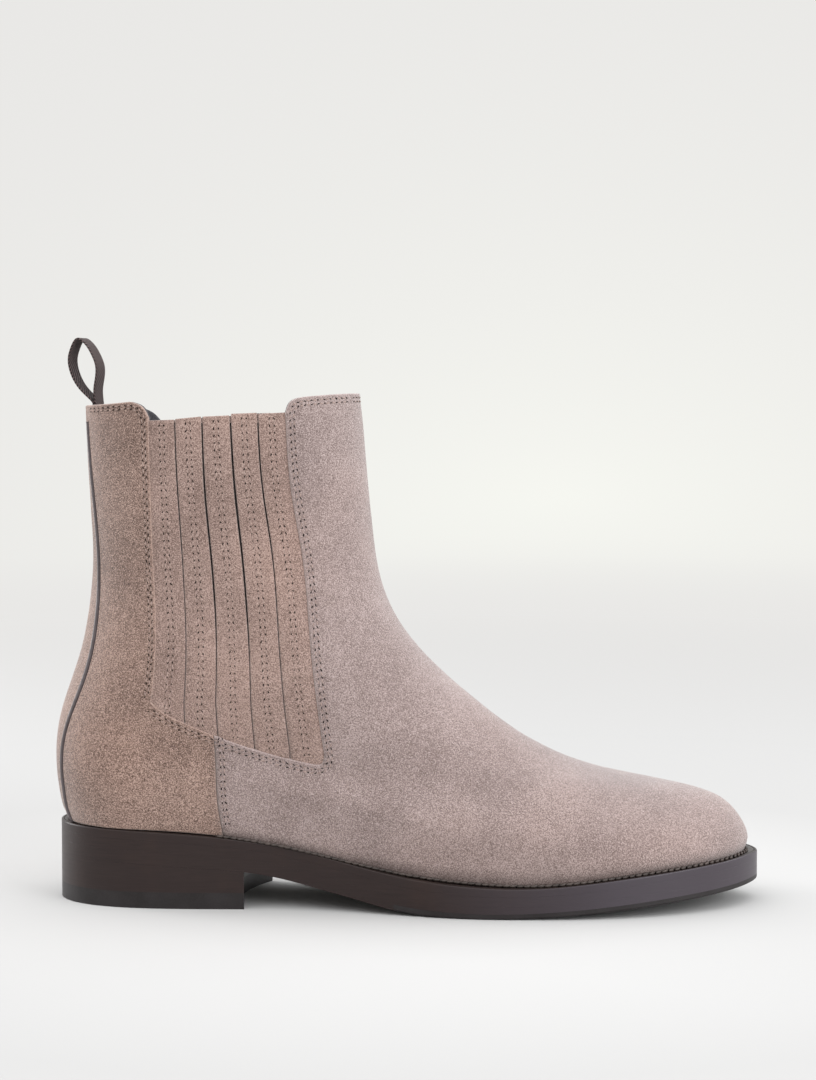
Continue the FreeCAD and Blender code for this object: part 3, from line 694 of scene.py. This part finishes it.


# The floor colour close round the boot is paler than the one farther out, as painted light against the
# boot's own shade.
STAGE_NEAR = (0.53, 0.527, 0.518)
STAGE_ROUND = (0.458, 0.455, 0.447)
STAGE_FAR = (0.815, 0.807, 0.792)
STAGE_GLOW = (0.925, 0.93, 0.88)
# The vamp's suede is paler and cooler and the quarter's darker and browner. This is partly painted light and
# shade, for how each faces the key light, and partly tones of their own.
SUEDE = suede("vamp_suede_nap", (0.15, 0.108, 0.098), (0.272, 0.207, 0.192), (0.445, 0.356, 0.337),
              cut_edge=0.45, welt_darkening=0.68)
QUARTER_SUEDE = suede("quarter_suede_nap", (0.079, 0.047, 0.035), (0.236, 0.155, 0.125),
                      (0.475, 0.337, 0.281), cut_edge=0.4)
GUSSET_SUEDE = suede("gusset_suede_nap", (0.135, 0.087, 0.071), (0.275, 0.189, 0.16),
                     (0.465, 0.338, 0.295), cut_edge=0.12)
THREAD = grained("suede_thread", (0.27, 0.195, 0.168), (0.4, 0.3, 0.265), 0.8, 2200, specular=0.2)
# Needle holes are drawn as dark marks on the surface, painted shade for the hollow of each hole.
NEEDLE_HOLE_SHADE = grained("needle_hole", (0.006, 0.0045, 0.004), (0.018, 0.013, 0.012), 0.95, 3000, specular=0.1)
WELT_THREAD = grained("welt_thread", (0.022, 0.016, 0.0135), (0.088, 0.066, 0.057), 0.55, 2600, 0.0002)
SOLE_EDGE = sole_edge("sole_edge", (0.017, 0.0098, 0.0088), (0.025, 0.0148, 0.0135), (0.036, 0.019, 0.014))
# The welt's top is darker than the sole's edge as painted shade for the crevice under the upper. Its paler
# colour toward the toe is painted reflection.
WELT_TOP = sole_edge("welt_leather", (0.01, 0.006, 0.0052), (0.018, 0.0105, 0.009), (0.034, 0.017, 0.011),
                     (0.02, 0.0135, 0.0125))
RUBBER = grained("sole_rubber", (0.0155, 0.0125, 0.0125), (0.025, 0.0215, 0.022), 0.45, 1400, 0.00006,
                 specular=0.25)
PIPING = grained("piping_leather", (0.058, 0.044, 0.044), (0.11, 0.092, 0.096), 0.4, 700, 0.00008, coat=0.25)
LINING = grained("lining_leather", (0.022, 0.02, 0.023), (0.1, 0.095, 0.103), 0.7, 1300)
SOCK = grained("sock_leather", (0.035, 0.03, 0.029), (0.065, 0.056, 0.053), 0.6, 800)
ELASTIC = elastic_look("elastic_weave")
WEBBING = webbing_look("loop_webbing")
STIFFENER = grained("stiffener_board", (0.5, 0.46, 0.38), (0.62, 0.58, 0.5), 0.9)
INSOLE_LEATHER = grained("insole_leather", (0.36, 0.25, 0.15), (0.46, 0.33, 0.21), 0.8)
CORK = grained("cork", (0.22, 0.12, 0.05), (0.5, 0.32, 0.17), 0.9, 500, 0.0005)
SHANK_STEEL = grained("shank_steel", (0.45, 0.45, 0.46), (0.6, 0.6, 0.6), 0.4)
BRASS = grained("nail_brass", (0.5, 0.36, 0.14), (0.7, 0.53, 0.25), 0.35)
for metal in (SHANK_STEEL, BRASS):
    metal.node_tree.nodes["Principled BSDF"].inputs["Metallic"].default_value = 1


def repaint(node, material):
    """Give a node of the model itself another material."""
    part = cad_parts[node]
    part.data.materials.clear()
    part.data.materials.append(material)
    return part


for node, material in (("insole", INSOLE_LEATHER), ("sock_liner", SOCK), ("shank", SHANK_STEEL),
                       ("cork_filler", CORK), ("toe_puff", STIFFENER), ("heel_counter", STIFFENER),
                       ("heel_nails", BRASS)):
    repaint(node, material)


# ---- Upper
def straight(first, last, step=1.2, size=8):
    """Points of a straight stretch of a rough size in millimetres between two (turn, level) places."""
    return np.linspace(first, last, max(2, round(size / step)) + 1)


def side_curve(points, side):
    return locate(smooth(points), side)


def side_path(parts, side):
    """One (turn, level) path through side-view stretches that meet end to end."""
    curves = [side_curve(part, side) for part in parts]
    return np.vstack([curve[:-1] for curve in curves] + [curves[-1][-1:]])


def span(low, high, count):
    return np.linspace(low, high, count)


def vamp_outline():
    """Anticlockwise from the outer side's feather line round the toe and up the inner side."""
    edges = []
    for side in (1, -1):
        floor = [SIDE_SEAM[0]] + [p for p in GUSSET_FLOOR if p[0] > SIDE_SEAM[0][0]]
        parts = (SIDE_SEAM[::-1], floor, GUSSET_CORNER, GUSSET_FRONT, COLLAR_FRONT_CORNER, COLLAR_FRONT)
        edges.append(side_path(parts, side))
    inner, outer = edges
    foot = straight((outer[0][0], FIRST_LEVEL), (inner[0][0], FIRST_LEVEL), 1.6, 440)
    shin = straight(inner[-1], outer[-1], 1.4, 30)
    first_rise = straight(foot[-1], inner[0])
    last_drop = straight(outer[0], foot[0])
    return chain(foot, first_rise, inner, shin, outer[::-1], last_drop)


def suede_relief(seed, swell=0.35):
    """Rounded cut edge, a furrow along each of the two rows of stitches, and slight swells."""
    def relief(gap, places):
        depth = roll(gap, 0.75) + groove(gap, 1.9, 0.6, 0.2) + groove(gap, 3.5, 0.6, 0.18)
        calm = np.clip(gap / 8, 0, 1)
        return depth + calm * swell * (waves(places, 26, seed) * 0.7 + waves(places, 11, seed + 9) * 0.3)
    return relief


def creases(places):
    """Shallow folds across the vamp where the foot bends."""
    points = last_point(*places.T)
    x, y, z = points.T
    bend = 0.0
    for at, lean, width, depth in ((22, 0.32, 4.5, 0.16), (36, 0.22, 6, 0.14), (52, 0.12, 7, 0.1)):
        line = x - at + lean * np.abs(y) + 2.5 * waves(places, 18, at)
        bend = bend + depth * np.exp(-(line / width) ** 2) * np.clip((z - 40) / 20, 0, 1)
    return bend


def fullness(places):
    """How much higher the leather stands along the ridge over the forefoot, softly pushed up from inside."""
    points = last_point(*places.T)
    facing_up = np.clip((outwards(*places.T)[:, 2] - 0.15) / 0.6, 0, 1)
    height = np.interp(points[:, 0], [8, 30, 55, 75, 110, 135, 148], [0, 0.9, 1.9, 1.7, 1.1, 0.9, 0])
    return height * facing_up


def make_vamp():
    outline = vamp_outline()
    plain = suede_relief(3.1)

    def relief(gap, places):
        return plain(gap, places) + creases(places) * np.clip(gap / 8, 0, 1) - fullness(places)

    piece = panel("vamp_suede", outline, SUEDE_DEPTHS, SUEDE, relief)
    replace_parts(piece, "vamp")
    return outline


def seam_line(side_gap, tab_gap, levels):
    """The edge of a quarter along the back seam, beside the piping and, near the collar, over it."""
    across = turn_width(1, levels)
    over = np.clip((levels - 11.58) / 0.06, 0, 1)
    gap = side_gap * (1 - over) + tab_gap * over
    return np.stack([1 + seam_turn(levels) + gap / across, levels], -1)


SEAM_STATIONS = np.concatenate([span(FIRST_LEVEL, 11.55, 130), span(11.58, 11.66, 5), span(11.7, 11.95, 6)])


def on_back(path):
    """The same path with outer-side turns counted on from 1."""
    return np.stack([path[:, 0] % 2, path[:, 1]], -1)


def rear_collar(side):
    """The rear collar edge and its corner. They sit a little lower on the inner side."""
    return (INNER_COLLAR_REAR, INNER_REAR_CORNER) if side > 0 else (COLLAR_REAR, COLLAR_REAR_CORNER)


def gusset_rear(side):
    return [rear_collar(side)[1][-1]] + GUSSET_REAR[1:]


def quarter_floor():
    """The part of the gusset's floor that the quarter borders, down to the side seam."""
    return [p for p in GUSSET_FLOOR if p[0] < SIDE_SEAM[0][0]] + [SIDE_SEAM[0]]


def quarter_outline(side, seam):
    """Outline of a quarter from its seam edge, which runs up."""
    floor = quarter_floor()
    collar, corner = rear_collar(side)
    collar = on_back(side_curve(collar, side))
    join = straight(seam[-1], collar[0])
    seam_edge = [(x - SEAM_GAP, z) for x, z in SIDE_SEAM]
    floor[-1] = seam_edge[0]
    rest = [side_curve(part, side) for part in (corner, gusset_rear(side), floor, seam_edge)]
    rest = [on_back(part) for part in rest]
    drop = straight(rest[-1][-1], (rest[-1][-1][0], FIRST_LEVEL))
    foot = straight(drop[-1], seam[0], 1.6, 85)
    return chain(seam, join, collar, *rest, drop, foot)


def make_quarters():
    outlines = {}
    for side, name, gaps, seed in ((-1, "quarter_lateral", (0.9, -2.0), 5.3),
                                   (1, "quarter_medial", (-0.9, -2.25), 7.7)):
        seam = seam_line(*gaps, SEAM_STATIONS)
        outline = quarter_outline(side, seam)
        piece = panel(name + "_suede", outline, SUEDE_DEPTHS, QUARTER_SUEDE, suede_relief(seed, 0.3))
        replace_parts(piece, name)
        outlines[name] = outline
    return outlines


PIPING_RADIUS = 0.9
PIPING_SINK = 0.12


def make_piping():
    """A folded strip of leather that stands out of the back seam as a round bead."""
    levels = span(FIRST_LEVEL, 11.66, 150)
    turns = 1 + seam_turn(levels)
    across = turn_width(turns, levels)
    points = []
    angles = np.radians(span(-25, 205, 13))
    for angle in angles:
        shift = PIPING_RADIUS * math.cos(angle) / across
        points.append(skin_point(turns + shift, levels, PIPING_SINK - PIPING_RADIUS * math.sin(angle)))
    grid = (len(angles), len(levels))
    faces = grid_faces(*grid, True, False, flipped=True) + end_faces(*grid)
    piece = add_piece("back_piping", np.vstack(points), faces, PIPING)
    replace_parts(piece, "back_seam_piping")


def slit_width(index, heights):
    stations, widths = zip(*SLITS[index][::-1])
    return np.interp(heights, stations, widths)


def gusset_x(share, heights):
    rear = gusset_rear_x(heights)
    return rear + (gusset_front_x(heights) - rear) * share


def strip_edge(share_index, toward, top, tuck):
    """Side-view points up one long edge of a strip. toward is 1 for the edge nearer the heel."""
    heights = span(57, top, 120)
    if share_index in (0, 5):
        x = gusset_x(STRIP_SHARES[share_index], heights) - toward * tuck
    else:
        wander = 0.12 * np.sin(heights / 13 + share_index * 2.1)
        x = gusset_x(STRIP_SHARES[share_index], heights) + wander
        x = x + toward * slit_width(share_index - 1, heights) / 2
    return np.stack([x, heights], -1)[heights > gusset_floor_z(x) - tuck]


def tucked(places, index):
    """How much deeper the first and last strips lie where the quarter's and the vamp's edges cross them."""
    x, _, z = last_point(*places.T).T
    if index == 0:
        gap = x - gusset_rear_x(z)
        return 0.22 * np.clip(1 - gap / 1.2, 0, 1)
    if index == 4:
        gap = gusset_front_x(z) - x
        return 0.4 * np.clip(1 - gap / 1.5, 0, 1)
    return 0.0 * x


def make_strips():
    middles = []
    for side, side_name in ((-1, "lateral"), (1, "medial")):
        for index in range(5):
            top, rise = STRIP_TOPS[index]
            rear = strip_edge(index, 1, top - 0.4, 3.0)
            front = strip_edge(index + 1, -1, top + rise, 3.0)
            crown = np.array([rear[-1], rear[-1] + (0.25, 0.35), front[-1] + (-0.25, 0.35), front[-1]])
            crown = np.vstack([crown[:1], np.linspace(crown[1], crown[2], 9), crown[3:]])
            base = smooth([front[0], (front[0] + rear[0]) / 2 + (0, 0.3), rear[0]])
            outline = chain(locate(base, side), locate(rear, side), locate(crown, side),
                            locate(front[::-1], side))

            def relief(gap, places, seed=index * 3.3 + side, index=index):
                crest = 0.3 * np.clip(1 - gap / 3.2, 0, 1) ** 2
                return roll(gap, 0.4) + crest + tucked(places, index) + 0.1 * waves(places, 14, seed)

            piece = panel("%s_strip_%d" % (side_name, index + 1), outline, STRIP_DEPTHS, GUSSET_SUEDE,
                          relief)
            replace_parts(piece, "gusset_strip_%s_%d" % (side_name, index + 1))
            heights = span(top - 0.6, 60, 150)
            x = gusset_x((STRIP_SHARES[index] + STRIP_SHARES[index + 1]) / 2, heights)
            kept = heights > gusset_floor_z(x) - 1.4
            middles.append(locate(np.stack([x, heights], -1)[kept], side))
    return middles


GORE_HEM = 4.5
GORE_SIDE_HEM = 4.6


def make_gores():
    for side, name in ((-1, "elastic_gore_lateral"), (1, "elastic_gore_medial")):
        heights = span(206.2, 60, 120)
        rear = np.stack([gusset_rear_x(heights) - GORE_SIDE_HEM, heights], -1)
        front = np.stack([gusset_front_x(heights) + GORE_SIDE_HEM, heights], -1)
        rear = rear[heights > GUSSET_FLOOR[0][1] - GORE_HEM]
        front = front[heights > GUSSET_FLOOR[-1][1] - GORE_HEM]
        floor = smooth([rear[-1], (-90.2, 73), (-69, 65), (-47.7, 59.2), front[-1]], 1.5)
        outline = chain(locate(rear, side), locate(floor, side), locate(front[::-1], side),
                        locate(smooth([front[0], rear[0]], 1.5), side))
        piece = panel(name + "_weave", outline, GORE_DEPTHS, ELASTIC,
                      lambda gap, places: 0.0 * gap, step=2.6)
        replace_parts(piece, name)


def lining_relief(outer_side):
    """The lining lies against the suede along the collar, and behind the stiffeners lower down."""
    def relief(gap, places):
        if outer_side:
            return -1.1 * np.clip((places[:, 1] - 11.45) / 0.3, 0, 1) + roll(gap, 0.3)
        return roll(gap, 0.6) + 0.1 * waves(places, 20, 2.2)
    return relief


def lining(name, outline):
    return panel(name, outline, LINING_DEPTHS, LINING, lining_relief(True),
                 lining_relief(False), step=3.2)


def make_linings(vamp):
    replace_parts(lining("vamp_lining_leather", vamp), "vamp_lining")
    halves = []
    for side in (1, -1):
        parts = [*rear_collar(side), gusset_rear(side), quarter_floor(), SIDE_SEAM]
        halves.append(on_back(side_path(parts, side)))
    inner, outer = halves
    across = turn_width(1, 11.8)
    half = [(-9.0, 11.96), (-7.4, 11.93), (-7.0, 11.72), (-5.5, 11.66)]
    notch = np.array(half + [(0, 11.65)] + [(-x, level) for x, level in half[::-1]])
    notch[:, 0] = 1 + notch[:, 0] / across
    top = np.vstack([inner[:1], notch, outer[:1]])
    top = np.vstack([np.linspace(a, b, 7)[:-1] for a, b in zip(top[:-1], top[1:])] + [top[-1:]])
    drop = straight(outer[-1], (outer[-1][0], FIRST_LEVEL))
    foot = straight(drop[-1], (inner[-1][0], FIRST_LEVEL), 1.6, 170)
    rise = straight(foot[-1], inner[-1])
    outline = chain(inner[::-1], top, outer, drop, foot, rise)
    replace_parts(lining("quarter_lining_leather", outline), "quarter_lining")


# ---- Stitches
UPPER_PITCH = 3.05
WELT_PITCH = 2.95
WELT_ROPE_OUT = 1.25
WELT_ROPE_HEIGHT = 0.6
GUSSET_ROWS = (1.9, 3.6)
REAR_ROWS = (1.6, 2.9)
SEAM_ROWS = (2.1, 3.6)
STITCH_SLANT = math.radians(24)


def make_upper_stitches(middles):
    """Needle holes, drawn as dark marks of painted shade, and the short threads between them, in double
    rows.
    """
    rows = [(offset(path, shift), 0.56) for path in middles for shift in (-1.0, 1.0)]
    for side in (1, -1):
        fronts = (COLLAR_FRONT, COLLAR_FRONT_CORNER, GUSSET_FRONT, GUSSET_CORNER, GUSSET_FLOOR)
        front = side_path([part[::-1] for part in fronts], side)
        rear = side_path((*rear_collar(side), gusset_rear(side)), side)
        seam = side_curve(SIDE_SEAM, side)
        for path, shifts, sign in ((front, GUSSET_ROWS, -side), (rear, REAR_ROWS, side),
                                   (seam, SEAM_ROWS, -side)):
            rows.extend([(offset(path, sign * shift), 0.02) for shift in shifts])
    shin = straight(side_curve(COLLAR_FRONT, 1)[-1], side_curve(COLLAR_FRONT, -1)[-1], 1.2, 30)
    rows.extend([(offset(shin, shift), 0.02) for shift in GUSSET_ROWS])
    holes, threads = [], []
    generator = np.random.default_rng(7)
    for number, (path, depth) in enumerate(rows):
        slant = STITCH_SLANT if number % 2 else -STITCH_SLANT
        for found, margin, sunk, share in ((holes, 1.5, -0.02, 1.0), (threads, 3.02, 0.03, 0.35)):
            for place in along_path(path, UPPER_PITCH, depth + sunk, margin):
                found.append(leaned(*place, slant * share + generator.normal(0, 0.1)))
    hole_sizes = [(0.57 * a, 0.26 * b, 0.1) for a, b in generator.uniform(0.75, 1.2, (len(holes), 2))]
    thread_sizes = [(0.82 * a, 0.25, 0.17 * b) for a, b in generator.uniform(0.85, 1.1, (len(threads), 2))]
    scatter("needle_holes", holes, hole_sizes, blob(2), NEEDLE_HOLE_SHADE)
    scatter("suede_threads", threads, thread_sizes, blob(2), THREAD)


def make_welt_stitches():
    """Heavy lockstitch that holds the upper to the welt, along its feather line."""
    turns = span(-0.68, 0.68, 900)
    levels = np.zeros_like(turns)
    line = skin_point(turns, levels, -WELT_ROPE_OUT)
    line[:, 2] = feather_z(line[:, 0]) + WELT_ROPE_HEIGHT
    travelled = travelled_along(line)
    at = np.arange(2, travelled[-1] - 2, WELT_PITCH)
    centres = np.stack([np.interp(at, travelled, values) for values in line.T], -1)
    along = unit(np.gradient(centres, axis=0))
    up = np.tile((0.0, 0.0, 1.0), (len(at), 1))
    across = unit(np.cross(up, along))
    up = np.cross(along, across)
    places = [leaned(*place, STITCH_SLANT) for place in zip(centres, along, across, up)]
    generator = np.random.default_rng(11)
    sizes = [(2.0 * a, 0.72 * b, 0.68 * b) for a, b in generator.uniform(0.92, 1.06, (len(at), 2))]
    scatter("welt_stitches", places, sizes, blob(6, 10, whole=True), WELT_THREAD)


# ---- Bottom
def feather_z(x):
    share = (np.asarray(x, float) - back_x(0)) / (front_x(0) - back_x(0))
    sag = np.where((share > 0) & (share < 1), sag_at(share), 0)
    return back_z(0) + (front_z(0) - back_z(0)) * share + sag


def sole_height(share):
    return lambda x: feather_z(x) - share * (feather_z(x) - underside_z(x))


def cut_outline(outline, limit_x, keep_behind):
    """The part of a closed outline behind or ahead of the line x = limit_x(y), closed along that line."""
    behind = outline[:, 0] < limit_x(outline[:, 1])
    kept = behind if keep_behind else ~behind
    start = np.flatnonzero(kept & ~np.roll(kept, 1))[0]
    order = np.roll(np.arange(len(outline)), -start)
    run = outline[order][kept[order]]
    ends = []
    after = outline[(start + len(run)) % len(outline)]
    for place, beyond in ((run[0], outline[start - 1]), (run[-1], after)):
        shares = span(0, 1, 60)[:, None]
        line = place + (beyond - place) * shares
        ends.append(line[np.argmin(np.abs(line[:, 0] - limit_x(line[:, 1])))])
    ys = span(ends[1][1], ends[0][1], 40)
    closing = np.stack([limit_x(ys), ys], -1)
    return np.vstack([run, closing])


def make_bottom():
    outline = smooth(SOLE_OUTLINE, 1.6, closed=True)
    top = sole_height(0)

    def raised(height):
        return lambda x: top(x) + height

    welt_bottom = sole_height(WELT_SHARE)
    profile = [(11, raised(-0.2)), (4.4, raised(-0.2)), (3.2, raised(0)), (1.75, raised(0.05)),
               (1.45, raised(-0.05)), (1.25, raised(-0.4)), (1.05, raised(-0.05)), (0.85, raised(0.1)),
               (0.5, raised(0.08)), (0.22, raised(-0.05)), (0.06, raised(-0.25)), (0, raised(-0.5)),
               (0, raised(-0.7)), (0, lambda x: welt_bottom(x) + 0.15), (0, lambda x: welt_bottom(x) + 0.03),
               (0.03, welt_bottom), (11, welt_bottom)]
    rings, faces = ring_sweep(outline, profile, closed_profile=True)
    # Its top faces take the darker welt colour, painted shade for the crevice under the upper, and its sides
    # take the sole's edge.
    welt = add_piece("welt_ledge", np.vstack(rings), faces, WELT_TOP)
    side_faces = np.arange(len(welt.data.polygons)) // len(outline) >= 9
    welt.data.materials.append(SOLE_EDGE)
    welt.data.polygons.foreach_set("material_index", side_faces.astype(np.int32))
    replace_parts(welt, "welt", "heel_rand")

    fore, rear = [cut_outline(outline, lambda y: half_sole_x(y) + 0.3, behind) for behind in (False, True)]
    middle_bottom = sole_height(MIDSOLE_SHARE)
    leather_bottom = sole_height(HALF_SOLE_SHARE)
    leather = (SOLE_EDGE, "sole_leather")
    layers = [("midsole_layer", outline, welt_bottom, middle_bottom, *leather, (0.03, 0.03), "midsole"),
              ("outsole_layer_rear", rear, middle_bottom, underside_z, *leather, (0.03, 0.05), "outsole"),
              ("outsole_layer_fore", fore, middle_bottom, leather_bottom, *leather, (0.03, 0.04), "outsole"),
              ("half_sole_sheet", fore, leather_bottom, underside_z, RUBBER, "sole_rubber", (0.06, 0.6),
               "half_sole")]
    for *settings, node in layers:
        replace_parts(plate(*settings), node)


def make_heel():
    """The heel's layers keep the model's own shapes, so that the nails show in the top lift."""
    for name, material in (("heel_top_lift", RUBBER), ("heel_lift_3", SOLE_EDGE), ("heel_lift_2", SOLE_EDGE),
                           ("heel_lift_1", SOLE_EDGE)):
        soften = repaint(name, material).modifiers.new("soft_edges", "BEVEL")
        soften.width = 0.35 * MM if name == "heel_top_lift" else 0.05 * MM
        soften.segments = 2
        soften.limit_method = "ANGLE"


# ---- Pull loop
def make_pull_loop():
    """A folded length of narrow webbing, with slightly thicker edges."""
    line = smooth(LOOP_LINE, 0.6)
    along = unit(np.gradient(line, axis=0))
    normal = np.stack([-along[:, 1], along[:, 0]], -1)
    travelled = travelled_along(line)
    half_width, half_thick = LOOP_WIDTH / 2, LOOP_THICKNESS / 2
    section = []
    for share in span(-1, 1, 15):
        swell = 0.6 if abs(share) == 1 else 1.12 if abs(share) > 0.8 else 1
        section.append((half_width * share, half_thick * swell))
    section += [(y, -t) for y, t in section[::-1]]
    points, uvs = [], []
    for y, lift in section:
        ripple = 0.02 * np.sin(travelled * 2 * math.pi / 1.1)
        place = line + normal * (lift + np.sign(lift) * ripple)[:, None]
        points.append(np.stack([place[:, 0], np.full(len(line), y), place[:, 1]], -1))
        uvs.append(np.stack([travelled, np.full(len(line), y)], -1) * MM)
    points = np.vstack(points)
    twist = np.array([[math.cos(LOOP_TWIST), math.sin(LOOP_TWIST), 0],
                      [-math.sin(LOOP_TWIST), math.cos(LOOP_TWIST), 0], [0, 0, 1]])
    points = points @ twist + LOOP_PIVOT
    grid = (len(section), len(line))
    faces = grid_faces(*grid, True, False) + [face[::-1] for face in end_faces(*grid)]
    piece = add_piece("pull_loop_webbing", points, faces, WEBBING, "pull_loop",
                      uvs=np.vstack(uvs))
    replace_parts(piece, "pull_loop")


# ---- Stage
def make_stage():
    """A pale floor that curves up all round into a wall, far from the boot."""
    profile = [(0.6, 0), (1.6, 0), (2.6, 0)]
    for angle in np.radians(span(10, 90, 9)):
        profile.append((2.6 + 1.2 * math.sin(angle), 1.2 * (1 - math.cos(angle))))
    profile.append((3.8, 2.0))
    around = 72
    points = turned_rings(profile, around) + [(0, 0, 0)]
    faces = grid_faces(len(profile), around, False, True)
    for i in range(around):
        faces.append((len(points) - 1, i, (i + 1) % around))
    mesh = bpy.data.meshes.new("studio_floor")
    mesh.from_pydata(points, [], faces)
    mesh.polygons.foreach_set("use_smooth", np.ones(len(mesh.polygons), bool))
    mesh.materials.append(stage_look("pale_floor"))
    floor = add_object("studio_floor", mesh)


def add_light(name, place, target, size, power, colour=(0.95, 0.97, 1.0)):
    data = bpy.data.lights.new(name, "AREA")
    data.shape = "RECTANGLE"
    data.size, data.size_y = size
    data.energy = power
    data.color = colour
    light = add_object(name, data)
    light.location = place
    light.rotation_mode = "QUATERNION"
    light.rotation_quaternion = (Vector(target) - Vector(place)).to_track_quat("-Z", "Y")


def make_lights():
    world = bpy.data.worlds.new("studio")
    world.use_nodes = True
    background = world.node_tree.nodes["Background"]
    background.inputs[0].default_value = (0.98, 0.985, 1.0, 1)
    background.inputs[1].default_value = 1.75
    bpy.context.scene.world = world
    add_light("key", (1.5, -1.35, 0.65), (0, 0, 0.1), (1.1, 1.15), 22)
    add_light("toe", (1.9, 0.1, 0.6), (0.05, 0, 0.05), (1.2, 1.2), 12)
    add_light("rim", (-1.6, 0.45, 0.5), (-0.1, 0, 0.08), (0.8, 1.0), 17, (0.98, 0.98, 1.0))


CAMERA_PLACE = (0.04705, -1.059, 0.2095)
CAMERA_DOWN = 2.917
CAMERA_HEADING = math.atan2(0.0462, 1.059)
CAMERA_LENS = 107.96


def make_camera():
    """The outer side of the boot, seen from about the collar's height and slightly down, by a long lens."""
    data = bpy.data.cameras.new("camera")
    settings = {"sensor_fit": "HORIZONTAL", "sensor_width": 36, "lens": CAMERA_LENS,
                "clip_start": 0.05, "clip_end": 50}
    for key, value in settings.items():
        setattr(data, key, value)
    camera = add_object("camera", data)
    camera.location = CAMERA_PLACE
    camera.rotation_euler = (math.radians(90 - CAMERA_DOWN), 0, CAMERA_HEADING)
    bpy.context.scene.camera = camera


bpy.context.scene.view_settings.view_transform = "Standard"
make_camera()
vamp_edge = make_vamp()
make_quarters()
make_piping()
strip_middles = make_strips()
make_gores()
make_linings(vamp_edge)
make_upper_stitches(strip_middles)
make_welt_stitches()
make_bottom()
make_heel()
make_pull_loop()
make_stage()
make_lights()
